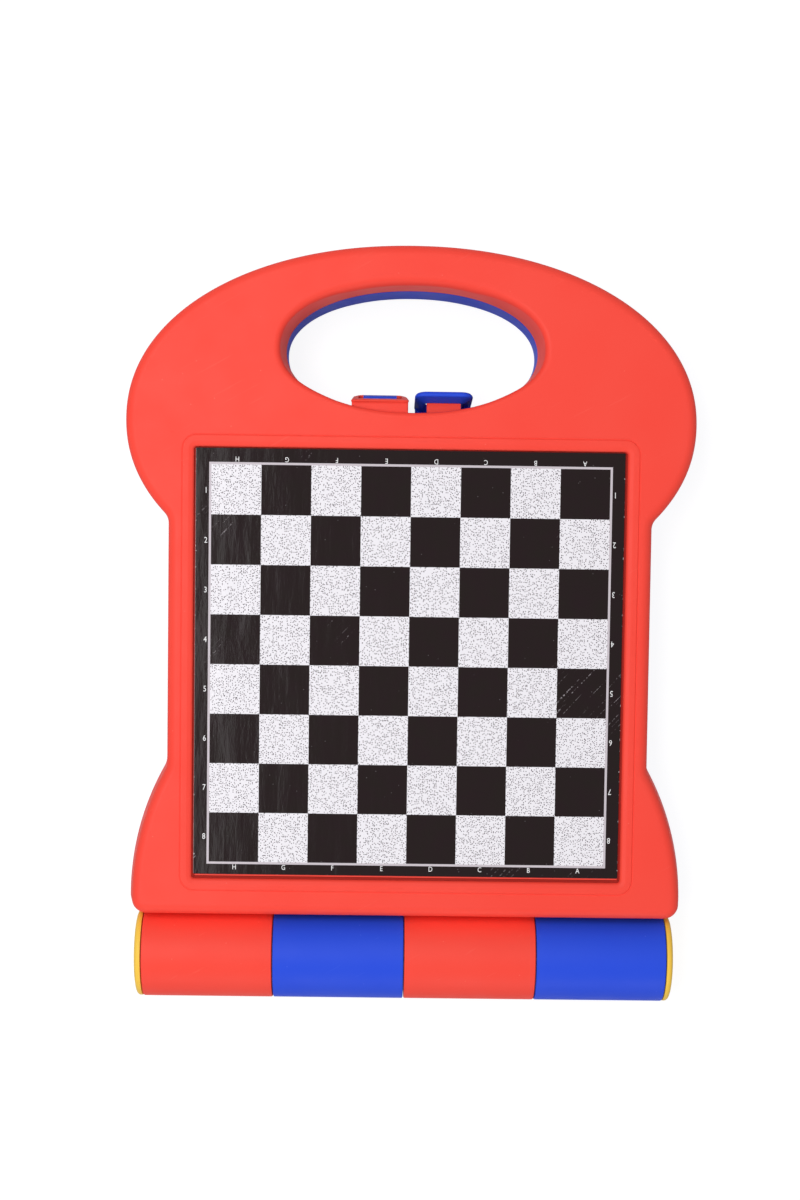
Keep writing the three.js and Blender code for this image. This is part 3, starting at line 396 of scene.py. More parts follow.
    # Raised band round the label: a small step up, a flat, a soft slope down to the pocket's wall, and a groove at its
    # foot.
    band_half = POCKET_HALF + BAND_WIDTH
    band_ring, band_normals = ring_of(band_half, band_half, BAND_CORNER, steps=15)
    step = [
        [-0.35, FACE_Z], [-0.1, FACE_Z + 0.02], [0.02, FACE_Z + 0.12], [0.14, FACE_Z + 0.12], [0.26, FACE_Z],
        [0.4, 0.1], [0.62, 0.01], [0.9, 0.0], [2.9, 0.0], [3.2, 0.06], [4.2, 0.32], [4.5, 0.4], [4.9, 0.62],
        [5.2, 0.95], [5.4, 1.35], [5.5, 1.9], [5.55, 2.8], [6.75, 2.8], [6.8, POCKET_DEPTH],
    ]
    band = carried(band_ring, band_normals, np.array(step)[None])
    parts.append((band.reshape(-1, 3), grid_faces(*band.shape[:2], closed_rows=True)))

    inner_rings, pocket_rings = [wall[:, 0, :2], collar], [band[:, -1, :2]]
    if battery_bay:
        seat, bay, outside = (
            np.array([[low_x, low_y], [high_x, low_y], [high_x, high_y], [low_x, high_y]])
            for low_x, high_x, low_y, high_y in BAY_RINGS
        )
        levels = (
            (seat, POCKET_DEPTH), (seat, INNER_FACE_Z), (bay, INNER_FACE_Z),
            (bay, BAY_TOP_Z), (outside, BAY_TOP_Z), (outside, INNER_FACE_Z),
        )
        bay_points = np.stack([np.column_stack([corners, np.full(4, z)]) for corners, z in levels], axis=1)
        parts.append((bay_points.reshape(-1, 3), grid_faces(4, len(levels), closed_rows=True)))
        inner_rings.append(outside)
        pocket_rings.append(seat)
    parts.append(flat_fill([wall[:, -1, :2], opening_edge, band[:, 0, :2]], FACE_Z))
    parts.append(flat_fill(inner_rings, INNER_FACE_Z))
    parts.append(flat_fill(pocket_rings, POCKET_DEPTH))
    return parts


def turned_about_barrel(profile, steps=120):
    """A closed profile of points (x, r) turned about the barrel's axis, which runs along X."""
    profile = np.asarray(profile, float)
    angles = np.linspace(0, 2 * math.pi, steps + 1)[:-1]
    x = np.broadcast_to(profile[:, 0], (steps, len(profile)))
    y = BARREL_Y + np.cos(angles)[:, None] * profile[:, 1]
    z = HALF_THICKNESS + np.sin(angles)[:, None] * profile[:, 1]
    return np.stack([x, y, z], axis=-1).reshape(-1, 3), grid_faces(steps, len(profile), True, True)


def knuckle_part(low_x, high_x):
    """A knuckle: a ring profile with 0.6 mm rounded ends turned about the barrel's axis."""
    bore = [
        [low_x, BORE_RADIUS + 0.2], [low_x + 0.2, BORE_RADIUS],
        [high_x - 0.2, BORE_RADIUS], [high_x, BORE_RADIUS + 0.2],
    ]
    outer = np.vstack(
        [
            quarter((high_x - 0.6, BARREL_RADIUS - 0.6), 0.6, 0, 90, 5),
            quarter((low_x + 0.6, BARREL_RADIUS - 0.6), 0.6, 90, 180, 5),
        ]
    )
    return turned_about_barrel(np.vstack([outer, bore]))


def bar_part(profile, low_x, high_x):
    """A closed profile in Y and Z drawn along X, with flat ends."""
    count = len(profile)
    points = np.array([[x, y, z] for x in (low_x, high_x) for y, z in profile])
    ends = [tuple(range(count))[::-1], tuple(range(count, 2 * count))]
    return points, grid_faces(2, count, closed_columns=True) + ends


WEB = [[-118.5, 14.8], [FOOT_Y + 1.0, 14.8], [FOOT_Y + 1.0, 18.6], [-118.5, 18.6]]
WEB_REACH = 117.6  # where the barrel's shorter end lies
WEB_OVERLAP = 0.28
KNUCKLE_GAP = 0.18
HOOK = np.vstack(
    [
        [[102.8, 11.91]],
        arc(107.5, 32.6, 24.19, -math.pi / 2, -0.941, 14),
        [[121.77, 13.86], [120.97, 16.56], [102.8, 16.56]],
    ]
)
BARREL_SEAMS = (-118.3, -59.5, -0.4, 59.0, 117.6)


def knuckles_and_hook(first, turned_over=False):
    """What stands on the foot and in the latch recess: every second knuckle of the barrel from the given one on, a
    web under each, and the latch's hook."""
    parts = []
    for i in (first, first + 2):
        low_x, high_x = BARREL_SEAMS[i] + KNUCKLE_GAP, BARREL_SEAMS[i + 1] - KNUCKLE_GAP
        if turned_over:
            low_x, high_x = -high_x, -low_x
        parts.append(knuckle_part(low_x, high_x))
        # the web reaches a little way under the next knuckle, so that the joint is not seen through
        web_x = np.clip((low_x - WEB_OVERLAP, high_x + WEB_OVERLAP), -WEB_REACH, WEB_REACH)
        parts.append(bar_part(WEB, *web_x))
    parts.append(bar_part(HOOK, -21.7, -6.7))
    return parts


blue_abs = moulded_plastic("blue_moulded_abs", "#254ddf", "#4e6cea")
blue_parts = half_shell_parts(battery_bay=True, side_lean=-0.2, far_lean=-0.9) + knuckles_and_hook(first=1)
blue_shell = solid_piece("blue_half_moulding", blue_parts, blue_abs)
mounted(blue_shell, "base", "blue_plastic", "blue_shell")


# Upper half of the case: the same tool's shape turned over, moulded in red ABS. Its outer face is the one on show,
# with the printed board lying in the pocket.

red_abs = moulded_plastic("red_moulded_abs", "#fc493b", "#ff7868")
red_parts = half_shell_parts(battery_bay=False, side_lean=2.0, far_lean=0.0) + knuckles_and_hook(0, turned_over=True)
red_shell = solid_piece("red_half_moulding", red_parts, red_abs, turned_over=True)
mounted(red_shell, "lid", "red_plastic", "red_shell")


# Barrel: a plastic tube through the four knuckles holds the halves together and keeps the chessmen; a yellow
# push-in cap shuts it at each end.

EDGE_ANGLE = math.radians(35.0)  # an edge sharper than this is rounded


def merged_copy(node_name, piece_name, material, body, slot, bevel_mm=0.3):
    """A piece in place of a CAD node: the node's mesh copied, its loose triangles merged and its flat faces made
    whole, with a bevel on its edges, mounted on its body."""
    mesh = nodes[node_name].data.copy()
    mesh.name = piece_name
    mesh.materials.clear()
    work = bmesh.new()
    work.from_mesh(mesh)
    bmesh.ops.remove_doubles(work, verts=work.verts, dist=1e-6)
    bmesh.ops.dissolve_limit(work, angle_limit=math.radians(1.0), verts=work.verts, edges=work.edges)
    work.to_mesh(mesh)
    work.free()
    mesh.shade_smooth()
    mesh.set_sharp_from_angle(angle=EDGE_ANGLE)
    mesh.materials.append(material)
    piece = bpy.data.objects.new(piece_name, mesh)
    bpy.context.scene.collection.objects.link(piece)
    if bevel_mm:
        bevel = piece.modifiers.new("edge_rounding", "BEVEL")
        bevel.width = bevel_mm * MM
        bevel.segments = 2
        bevel.limit_method = "ANGLE"
        bevel.angle_limit = EDGE_ANGLE
        bevel.use_clamp_overlap = True
        bevel.harden_normals = True
    mounted(piece, body, slot, node_name)


tube_plastic = moulded_plastic("grey_extruded_tube", "#c9c9c4", "#e2e2de")
merged_copy("hinge_tube", "barrel_tube", tube_plastic, "base", "tube_plastic", 0.2)

# how far a cap's flange starts beyond the middle of the barrel, and its domed face from there
CAP_START = {"left": 118.5, "right": 117.7}
CAP_PROFILE = np.vstack(
    [
        [[3.5, 0.0], [3.45, 6.0], [3.35, 11.0], [3.2, 14.5], [2.95, 16.8]],
        [[2.7, 18.0], [2.3, 18.95], [1.6, 19.5], [0.8, 19.6], [0.1, 19.5], [0.0, 19.1]],
        [[0.0, 14.9], [-0.4, 14.75], [-7.6, 14.75], [-8.1, 14.2], [-8.1, 13.6], [-7.7, 13.25]],
        [[0.3, 13.25], [0.5, 12.6], [0.6, 0.0]],
    ]
)
yellow_plastic = moulded_plastic("yellow_moulded_polyethylene", "#fccd4c", "#ffdf86", 0.42)
for side, end in (("left", -1), ("right", 1)):
    profile = (CAP_PROFILE + [CAP_START[side], 0]) * [end, 1]
    cap = solid_piece(f"yellow_cap_{side}", [turned_about_barrel(profile)], yellow_plastic)
    mounted(cap, f"end_cap_{side}", "yellow_plastic", f"end_cap_{side}")


# Latches: two hoops of solid ABS with thumb-soft edges, each on a steel pin in its own half, that snap over the
# other half's hook. The red one stands a little further out.

LATCH_MIDDLE = 14.2
LATCH_HALF = 12.9
LATCH_EDGE_DEPTH = 2.6
LATCH_PLATE = 4.6
LATCH_FOOT_Z = 3.2
LATCH_END_Z = 34.4
LATCH_PIN_Y = 107.5
LATCH_OUT_Y = 117.4
LATCH_EDGE = 3.2


def latch_parts(lean, draw, leg, rail, cut):
    """A hoop latch in its own half's frame, pin low: a plate with a window, whose rings of outline and window points
    are carried through its thickness, and a pin block behind its foot. lean is how far the plate goes out for each
    millimetre up, leg and rail the width of the hoop beside and above its window. Its outer face is drawn in by draw
    towards the edges, in two steps over the outermost 3.2 mm, and an eighth as much at the foot. The block's underside
    is cut away by cut, and the plate's edge is thin at the foot, so that the tilting hoop clears the case's lip."""
    low, high = LATCH_FOOT_Z, LATCH_END_Z

    def frame_ring(half, bottom, top, low_radius, high_radius):
        corners = (
            (half - low_radius, bottom + low_radius, low_radius, -90),
            (half - high_radius, top - high_radius, high_radius, 0),
            (high_radius - half, top - high_radius, high_radius, 90),
            (low_radius - half, bottom + low_radius, low_radius, 180),
        )
        return np.vstack([quarter((x, z), radius, start, start + 90, 30) for x, z, radius, start in corners])

    outside = frame_ring(LATCH_HALF, low, high, 1.0, 4.5)
    window = frame_ring(LATCH_HALF - leg, low + 6.9, high - rail, 1.2, 1.6)
    flat_edge = frame_ring(LATCH_HALF - LATCH_EDGE, low + 0.4, high - 2.6, 0.8, 2.6)
    turn_edge = frame_ring(LATCH_HALF - 0.3 * LATCH_EDGE, low + 0.1, high - 0.8, 1.0, 4.0)
    drawn_in = draw * np.clip((outside[:, 1] - low - 2.0) / 16.0, 0.12, 1.0)
    edge_depth = LATCH_EDGE_DEPTH * np.clip((outside[:, 1] - low) / 4.0, 0.25, 1.0)
    rows = []
    for ring, inset in (
        (window, 0.0),
        (flat_edge, 0.0),
        (turn_edge, 0.3 * drawn_in),
        (outside, drawn_in),
        (outside, np.maximum(edge_depth, drawn_in + 0.2)),
        (0.2 * outside + 0.8 * window, LATCH_PLATE),
        (window, LATCH_PLATE),
    ):
        y = LATCH_OUT_Y + lean * (ring[:, 1] - low) - inset
        rows.append(np.column_stack([ring[:, 0] + LATCH_MIDDLE, y, ring[:, 1]]))
    plate = np.stack(rows, axis=1)
    block = np.vstack(
        [
            quarter((LATCH_PIN_Y, 7.4), 3.1, 90, 270, 12),
            [[LATCH_PIN_Y + 1.5, low + 1.1], [LATCH_OUT_Y - 1.4, low + cut]],
            [[LATCH_OUT_Y - 0.8, low + 0.4], [LATCH_OUT_Y - 0.5, low + 0.2]],
            [[LATCH_OUT_Y + 0.5, low + 6.6], [LATCH_OUT_Y - 1.0, low + 6.9]],
        ]
    )
    side = LATCH_HALF - 0.4
    return [
        (plate.reshape(-1, 3), grid_faces(*plate.shape[:2], closed_rows=True, closed_columns=True)),
        bar_part(block, LATCH_MIDDLE - side, LATCH_MIDDLE + side),
    ]


for colour, material, turned_over, lean, draw, leg, rail, cut in (
    ("blue", blue_abs, False, 0.152, 1.55, 4.9, 5.2, 2.2),
    ("red", red_abs, True, 0.176, 1.9, 3.4, 4.0, 0.9),
):
    latch = solid_piece(
        f"{colour}_hoop_latch", latch_parts(lean, draw, leg, rail, cut), material, turned_over=turned_over
    )
    fused = latch.modifiers.new("fused", "REMESH")
    fused.mode = "VOXEL"
    fused.voxel_size = 0.32 * MM
    fused.use_smooth_shade = True
    softened = latch.modifiers.new("softened_edges", "SMOOTH")
    softened.factor = 0.5
    softened.iterations = 9
    mounted(latch, f"{colour}_latch", f"{colour}_plastic", f"{colour}_latch")


# Printed board: a thick glossy film with a screen-printed chessboard, laid in the pocket of the upper half, with the
# shade in the groove round it painted on as a dark red strip. Letters and digits are printed along its border.

SQUARE = 22.0
LABEL_BOX = (-94.9, 94.5, -93.6, 95.2)  # low x, high x, low y, high y: it lies a little up and left in the pocket
LABEL_LOW_Z = 38.5
LABEL_TOP_Z = 39.05


def printed_film():
    """Screen-printed film with a gloss varnish. The eye sees deep black that takes the room's light in slow ripples,
    light squares with fine dark specks of dust, and a few hair scratches."""
    material, node, shader, place = new_material("screen_printed_gloss_film")
    centred = node("Mapping", {"Vector": place, "Location": (0.0, -CASE_SHIFT_Y, 0.0)})
    flat = node("Mapping", {"Vector": centred, "Scale": (1.0, 1.0, 0.0)})
    # squares of 22 mm
    checker = node(
        "TexChecker",
        {"Vector": flat, "Color1": (1.0, 1.0, 1.0, 1.0), "Color2": (0.0, 0.0, 0.0, 1.0), "Scale": 1 / SQUARE},
    )
    # distance from the centre, as the larger of |x| and |y|
    parts = node("SeparateXYZ", {0: flat})
    across = node("Math", {0: parts.outputs["X"]}, operation="ABSOLUTE")
    along = node("Math", {0: parts.outputs["Y"]}, operation="ABSOLUTE")
    reach = node("Math", {0: across, 1: along}, operation="MAXIMUM")
    inside = node("Math", {0: reach, 1: 4 * SQUARE}, operation="LESS_THAN")
    in_line = node("Math", {0: reach, 1: 4 * SQUARE + 0.5, 2: 0.5}, operation="COMPARE")
    light_square = node("Math", {0: checker, 1: inside}, operation="MULTIPLY")
    # ink: the black is faintly mottled green and purple, the light ink faintly grey
    mottle = node("TexNoise", {"Vector": flat, "Scale": 1 / 9.0, "Detail": 4.0})
    black = node("Mix", {0: mottle, 6: "#221d19", 7: "#26171d"}, data_type="RGBA")
    # the light ink's own pattern: dark flecks of 0.4 mm, one to the square millimetre
    specks = node("TexVoronoi", {"Vector": flat, "Scale": 1 / 0.78}, voronoi_dimensions="2D")
    chance = node("SeparateColor", {0: specks.outputs["Color"]})
    chosen = node("Math", {0: chance.outputs["Red"], 1: 0.42}, operation="GREATER_THAN")
    fleck = node("MapRange", {"Value": specks, "From Min": 0.24, "From Max": 0.3, "To Min": 1.0, "To Max": 0.0})
    speck_share = node("Math", {0: fleck, 1: chosen}, operation="MULTIPLY")
    fleck_tint = node("Mix", {0: chance.outputs["Green"], 6: "#0f0c12", 7: "#66535d"}, data_type="RGBA")
    pale = node("Mix", {0: speck_share, 6: "#f4f1f7", 7: fleck_tint}, data_type="RGBA")
    squares = node("Mix", {0: light_square, 6: black, 7: pale}, data_type="RGBA")
    lined = node("Mix", {0: in_line, 6: squares, 7: "#cfc6cd"}, data_type="RGBA")
    # dust: pale pin-points, most visible on the black
    dust = node("TexVoronoi", {"Vector": flat, "Scale": 1 / 4.5})
    dust_share = node("MapRange", {"Value": dust, "From Min": 0.02, "From Max": 0.05, "To Min": 0.35, "To Max": 0.0})
    dusted = node("Mix", {0: dust_share, 6: lined, 7: "#b9b4b8"}, data_type="RGBA")
    # hair scratches up to the right: a noise drawn out 50 mm by 1 mm, broken by a fine one, in a few patches
    drawn_out = node(
        "Mapping", {"Vector": flat, "Rotation": (0.0, 0.0, 0.82), "Scale": (50.0, 1.0, 1.0)}, vector_type="TEXTURE"
    )
    hair = node("TexNoise", {"Vector": drawn_out, "Scale": 1.1})
    hair_share = node("MapRange", {"Value": hair, "From Min": 0.6, "From Max": 0.65})
    breaks = node("TexNoise", {"Vector": flat, "Scale": 0.9})
    break_share = node("MapRange", {"Value": breaks, "From Min": 0.5, "From Max": 0.6})
    patches = node("TexNoise", {"Vector": flat, "Scale": 1 / 36.0})
    patch_share = node("MapRange", {"Value": patches, "From Min": 0.63, "From Max": 0.72})
    # the case has rubbed on something most around square A5
    from_rub = node("VectorMath", {0: flat, 1: (80.0, -12.0, 0.0)}, operation="DISTANCE")
    rub_share = node("MapRange", {"Value": from_rub, "From Min": 12.0, "From Max": 22.0, "To Min": 1.0, "To Max": 0.0})
    patch_share = node("Math", {0: patch_share, 1: rub_share}, operation="MAXIMUM")
    scratch = node("Math", {0: hair_share, 1: break_share}, operation="MULTIPLY")
    scratch = node("Math", {0: scratch, 1: patch_share}, operation="MULTIPLY")
    scratched = node("Mix", {0: scratch, 6: dusted, 7: "#9c9498"}, data_type="RGBA")
    # the film shows its pale core in small nicks along all four edges, and is paler in a thin line along its left edge
    label_middle = node(
        "Mapping",
        {"Vector": flat, "Location": (-(LABEL_BOX[0] + LABEL_BOX[1]) / 2, -(LABEL_BOX[2] + LABEL_BOX[3]) / 2, 0.0)},
    )
    from_middle = node("SeparateXYZ", {0: label_middle})
    off_x = node("Math", {0: from_middle.outputs["X"]}, operation="ABSOLUTE")
    off_y = node("Math", {0: from_middle.outputs["Y"]}, operation="ABSOLUTE")
    to_edge = node("Math", {0: off_x, 1: off_y}, operation="MAXIMUM")
    chipped = node("TexNoise", {"Vector": flat, "Scale": 1 / 1.9})
    nick = node("Math", {0: chipped, 1: 3.6, 2: 92.45}, operation="MULTIPLY_ADD")
    nick = node("Math", {0: to_edge, 1: nick}, operation="SUBTRACT")
    edge_nick = node("MapRange", {"Value": nick, "From Min": 0.75, "From Max": 1.0, "To Max": 0.8})
    left_edge = node(
        "MapRange",
        {"Value": from_middle.outputs["X"], "From Min": -94.7, "From Max": -94.45, "To Min": 0.5, "To Max": 0.0},
    )
    bare = node("Math", {0: edge_nick, 1: left_edge}, operation="MAXIMUM")
    finished = node("Mix", {0: bare, 6: scratched, 7: "#d8d2d4"}, data_type="RGBA")
    fill(shader, {"Base Color": finished, "Roughness": 0.13, "IOR": 1.3, "Specular IOR Level": 0.2})
    # slow ripples of the film along the board, some 8 mm wide and 60 mm long
    ripple_place = node("Mapping", {"Vector": flat, "Scale": (1.0, 0.22, 1.0)})
    ripples = node("TexNoise", {"Vector": ripple_place, "Scale": 0.09, "Detail": 3.0})
    bump = node("Bump", {"Strength": 0.5, "Distance": 0.0006, "Height": ripples})
    # and the fine drawn lines of the film itself, a millimetre wide
    fine_place = node("Mapping", {"Vector": flat, "Scale": (1.0, 0.24, 1.0)})
    fine = node("TexNoise", {"Vector": fine_place, "Scale": 1.3})
    fine_bump = node("Bump", {"Strength": 0.35, "Distance": 0.00007, "Height": fine, "Normal": bump})
    fill(shader, {"Normal": fine_bump})
    return material


def frame_part(half_x, half_y, corner, width, low_z, high_z, centre=(0.0, 0.0)):
    """A flat frame: a small rectangle of the given width carried round a rectangle with round corners."""
    ring, normals = ring_of(half_x, half_y, corner, centre)
    points = carried(ring, normals, np.array([[0, low_z], [0, high_z], [width, high_z], [width, low_z]])[None])
    return points.reshape(-1, 3), grid_faces(*points.shape[:2], closed_rows=True, closed_columns=True)


def slab_parts(box, corner, low_z, high_z, rounding=0.12):
    """A flat slab: a rounded edge profile carried round a rectangle with round corners."""
    low_x, high_x, low_y, high_y = box
    centre = ((low_x + high_x) / 2, (low_y + high_y) / 2)
    ring, normals = ring_of((high_x - low_x) / 2, (high_y - low_y) / 2, corner, centre)
    edge = np.vstack(
        [
            quarter((rounding, low_z + rounding), rounding, 270, 180, 4),
            quarter((rounding, high_z - rounding), rounding, 180, 90, 4),
        ]
    )
    wall = carried(ring, normals, edge[None])
    return [
        (wall.reshape(-1, 3), grid_faces(*wall.shape[:2], closed_rows=True)),
        flat_fill([wall[:, 0, :2]], low_z),
        flat_fill([wall[:, -1, :2]], high_z),
    ]


board_label = solid_piece("printed_board", slab_parts(LABEL_BOX, 0.6, LABEL_LOW_Z, LABEL_TOP_Z), printed_film())
mounted(board_label, "lid", "printed_label", "board_label")

# painted shade: a dark red strip laid in the groove round the board, standing in for the groove's shadow
groove_shade_paint = moulded_plastic("painted_groove_shade", "#a4241a", "#b43c30", 0.7)
groove_shade_strip = solid_piece("groove_painted_shade_strip", [frame_part(95.5, 95.5, 0.9, 1.1, 37.25, 37.9)], groove_shade_paint)
mounted(groove_shade_strip, "lid", "printed_label")


def lettering(name, marks, material, thickness=0.03):
    """Printed characters as one mesh. Each mark is text, x, y, z, height and turn in degrees: the letters' own mesh
    is centred on its box, scaled to the height and 0.82 of its width, turned about Z and moved to its place."""
    points, faces, first = [], [], 0
    for text, x, y, z, height, turn in marks:
        curve = bpy.data.curves.new("mark", "FONT")
        curve.body = text
        curve.extrude = 0.02
        curve.resolution_u = 3
        holder = bpy.data.objects.new("mark", curve)
        bpy.context.scene.collection.objects.link(holder)
        bpy.context.view_layer.update()
        flat = bpy.data.meshes.new_from_object(holder)
        own = np.empty(len(flat.vertices) * 3)
        flat.vertices.foreach_get("co", own)
        own = own.reshape(-1, 3)
        low, high = own.min(0), own.max(0)
        own = (own - [(low[0] + high[0]) / 2, (low[1] + high[1]) / 2, low[2]]) * (height / (high[1] - low[1]))
        own *= [0.82, 1.0, thickness / own[:, 2].max()]
        c, s = math.cos(math.radians(turn)), math.sin(math.radians(turn))
        points.append(own @ np.array([[c, s, 0], [-s, c, 0], [0, 0, 1]]) + [x, y, z])
        faces += [tuple(i + first for i in polygon.vertices) for polygon in flat.polygons]
        first += len(own)
        bpy.data.objects.remove(holder)
        bpy.data.curves.remove(curve)
        bpy.data.meshes.remove(flat)
    return solid_piece(name, [(np.vstack(points), faces)], material, shift=ORIGIN)


FILES = "HGFEDCBA"
CHARACTER_REACH = 90.3
CHARACTER_STEP = 21.9
character_marks = []
for i in range(8):
    step = (i - 3.5) * CHARACTER_STEP
    character_marks.append((FILES[i], step, CASE_SHIFT_Y - CHARACTER_REACH, LABEL_TOP_Z, 2.2, 0))
    character_marks.append((FILES[i], step, CASE_SHIFT_Y + CHARACTER_REACH, LABEL_TOP_Z, 2.2, 180))
    character_marks.append((str(i + 1), -CHARACTER_REACH, CASE_SHIFT_Y - step, LABEL_TOP_Z, 2.55, 0))
    character_marks.append((str(i + 1), CHARACTER_REACH, CASE_SHIFT_Y - step, LABEL_TOP_Z, 2.55, 180))


def printing_ink(name, hex_colour):
    """Screen-printed ink, a few hundredths thick. The eye sees an even matt colour, a touch thinner in places."""
    material, node, shader, place = new_material(name)
    body = np.array(linear(hex_colour))
    thin = node("TexNoise", {"Vector": place, "Scale": 1 / 0.7})
    shade = node("Mix", {0: thin, 6: tuple(body), 7: tuple(body * [0.86, 0.86, 0.86, 1.0])}, data_type="RGBA")
    fill(shader, {"Base Color": shade, "Roughness": 0.45})
    return material


white_ink = printing_ink("white_screen_ink", "#fbfafb")
characters = lettering("board_characters", character_marks, white_ink)
mounted(characters, "lid", "printed_label")


# Liner of the upper half: a thin vacuum-formed tray in dark blue polystyrene, held by four screws, with a well for
# the chessmen.

liner_plastic = moulded_plastic("formed_polystyrene_liner", "#26336b", "#3a4a86", 0.5)
merged_copy("lid_liner", "lid_tray", liner_plastic, "lid", "liner_plastic", 0.5)


# Console: a moulded panel over the electronics, held by four screws, with openings for the display, the keys and the
# loudspeaker, and two printed lines round the display and the keys.

console_plastic = moulded_plastic("textured_console_plastic", "#2f3a5f", "#46527c", 0.55, 0.35)
merged_copy("console_panel", "console_cover", console_plastic, "base", "console_plastic")
light_ink = printing_ink("pale_blue_panel_ink", "#b9c8ee")

DISPLAY_Y = -75.54
KEYS_Y = -14.6
panel_lines = [
    frame_part(half_x, half_y, corner, 0.5, 16.3, 16.33, (0.0, y))
    for half_x, half_y, corner, y in ((55.0, 24.0, 3.0, DISPLAY_Y), (89.0, 26.5, 4.0, KEYS_Y))
]
mounted(solid_piece("panel_lines", panel_lines, light_ink, shift=ORIGIN), "base", "console_plastic")


# Display: a liquid crystal glass in a black lacquered frame that clips to the circuit board, seen through a clear
# acrylic window glued under the panel. Its dark figures show a move.

clear_plastic, node, shader, place = new_material("clear_acrylic_window")
fill(shader, {"Base Color": "#f4f7f6", "Transmission Weight": 1.0, "Roughness": 0.04, "IOR": 1.49})
merged_copy("display_window", "window_pane", clear_plastic, "base", "clear_plastic", 0.2)

display_glass = moulded_plastic("grey_green_display_glass", "#8f9c86", "#9ba893", 0.2, 0.5, 0.0)
merged_copy("display_module", "display_block", display_glass, "base", "display_glass", 0.2)
bezel_steel = moulded_plastic("black_lacquered_bezel", "#1d1f22", "#2a2d31", 0.35, 0.3, 0.05)
bezel_part = frame_part(51.8, 20.8, 1.0, 9.5, 14.0, 14.22, (0.0, DISPLAY_Y))
bezel = solid_piece("display_bezel", [bezel_part], bezel_steel, shift=ORIGIN)
mounted(bezel, "base", "display_glass")


def segment_parts(centre_x, lit):
    """The lit bars of one seven-segment figure, each a long hexagon 0.04 mm thick lying on the glass."""
    half_w, half_h, thick = 3.6, 3.6, 0.75
    bars = {
        "a": (0, 2 * half_h, 0), "b": (half_w, half_h, 1), "c": (half_w, -half_h, 1), "d": (0, -2 * half_h, 0),
        "e": (-half_w, -half_h, 1), "f": (-half_w, half_h, 1), "g": (0, 0, 0),
    }
    parts = []
    for letter in lit:
        x, y, upright = bars[letter]
        reach = half_h - 0.2
        shoulder = reach - thick
        bar = np.array(
            [[-reach, 0], [-shoulder, -thick], [shoulder, -thick], [reach, 0], [shoulder, thick], [-shoulder, thick]]
        )
        bar = bar[:, ::-1] * [-1, 1] if upright else bar
        bar = bar + [centre_x + x + 0.12 * y, DISPLAY_Y + y]
        points = np.vstack([np.column_stack([bar, np.full(6, z)]) for z in (14.0, 14.04)])
        parts.append((points, grid_faces(2, 6, closed_columns=True) + [tuple(range(6))[::-1], tuple(range(6, 12))]))
    return parts


# the display shows a move, E2 E4
crystal = printing_ink("dark_liquid_crystal", "#1c211d")
shown_move = []
for place_x, lit in ((-24.0, "adefg"), (-10.0, "abdeg"), (10.0, "adefg"), (24.0, "bcfg")):
    shown_move += segment_parts(place_x, lit)
mounted(solid_piece("display_figures", shown_move, crystal, shift=ORIGIN), "base", "display_glass")


# Electronics: a green laminate board with its processor, screwed to posts, the silicone mat whose domes carry the
# keys, and a loudspeaker in a plated steel can glued behind the panel's slots.

laminate = moulded_plastic("green_circuit_laminate", "#1f6a3c", "#2c7d4c", 0.35)
merged_copy("circuit_board", "circuit_laminate", laminate, "base", "circuit_laminate", 0.1)

chip_plastic = moulded_plastic("black_epoxy_package", "#18181a", "#242426", 0.6)
merged_copy("processor_chip", "processor_package", chip_plastic, "base", "chip_plastic", 0.1)

rubber = moulded_plastic("grey_silicone_mat", "#8a8c8e", "#97999b", 0.7)
merged_copy("key_mat", "contact_mat", rubber, "base", "key_rubber", 0.2)


def drawn_metal(name, hex_colour, roughness, hairline_mm=0.15):
    """Bright metal, drawn or stamped. The eye sees a cool reflection broken by fine hairlines along one way."""
    material, node, shader, place = new_material(name)
    fill(shader, {"Metallic": 1.0})
    lines = node("Mapping", {"Vector": place, "Scale": (1.0, 0.05, 1.0)})
    hair = node("TexNoise", {"Vector": lines, "Scale": 1 / hairline_mm})
    shade = node("Mix", {0: hair, 6: hex_colour, 7: "#e8e6e2"}, data_type="RGBA")
    fill(shader, {"Base Color": shade})
    uneven = node("MapRange", {"Value": hair, "To Min": roughness - 0.08, "To Max": roughness + 0.1})
    fill(shader, {"Roughness": uneven})
    return material


steel = drawn_metal("zinc_plated_steel", "#b9bcc0", 0.3)
merged_copy("loudspeaker", "speaker_can", steel, "base", "speaker_steel")


# Battery bay: three small cells in printed sleeves between two stamped contact strips, behind a door in the blue
# half's outer face, moulded in the same blue and held by one screw.


def cell_sleeve():
    """A steel can in a printed film sleeve. The eye sees glossy black, a copper band towards the nub, and bright bare
    metal at both ends."""
    material, node, shader, place = new_material("printed_cell_sleeve")
    along = node("SeparateXYZ", {0: place})
    copper = node("Math", {0: along.outputs["X"], 1: -36.0}, operation="GREATER_THAN")
    bare = node("Math", {0: along.outputs["X"], 1: -44.3, 2: 20.6}, operation="COMPARE")
    bare = node("Math", {0: 1.0, 1: bare}, operation="SUBTRACT")
    print_grain = node("TexNoise", {"Vector": place, "Scale": 1 / 1.8})
    black = node("Mix", {0: print_grain, 6: "#1a1a1c", 7: "#26262a"}, data_type="RGBA")
    sleeve = node("Mix", {0: copper, 6: black, 7: "#b8763f"}, data_type="RGBA")
    whole = node("Mix", {0: bare, 6: sleeve, 7: "#c3c4c6"}, data_type="RGBA")
    fill(shader, {"Base Color": whole, "Metallic": bare, "Roughness": 0.28})
    return material


cell_wrap = cell_sleeve()
for side in ("left", "right"):
    merged_copy(f"battery_contact_{side}", f"cell_contact_{side}", steel, "base", "contact_metal", 0.0)
for i in (1, 2, 3):
    merged_copy(f"battery_{i}", f"cell_{i}", cell_wrap, "base", "cell_wrap")
merged_copy("battery_door", "door_panel", blue_abs, "battery_door", "blue_plastic", 0.25)


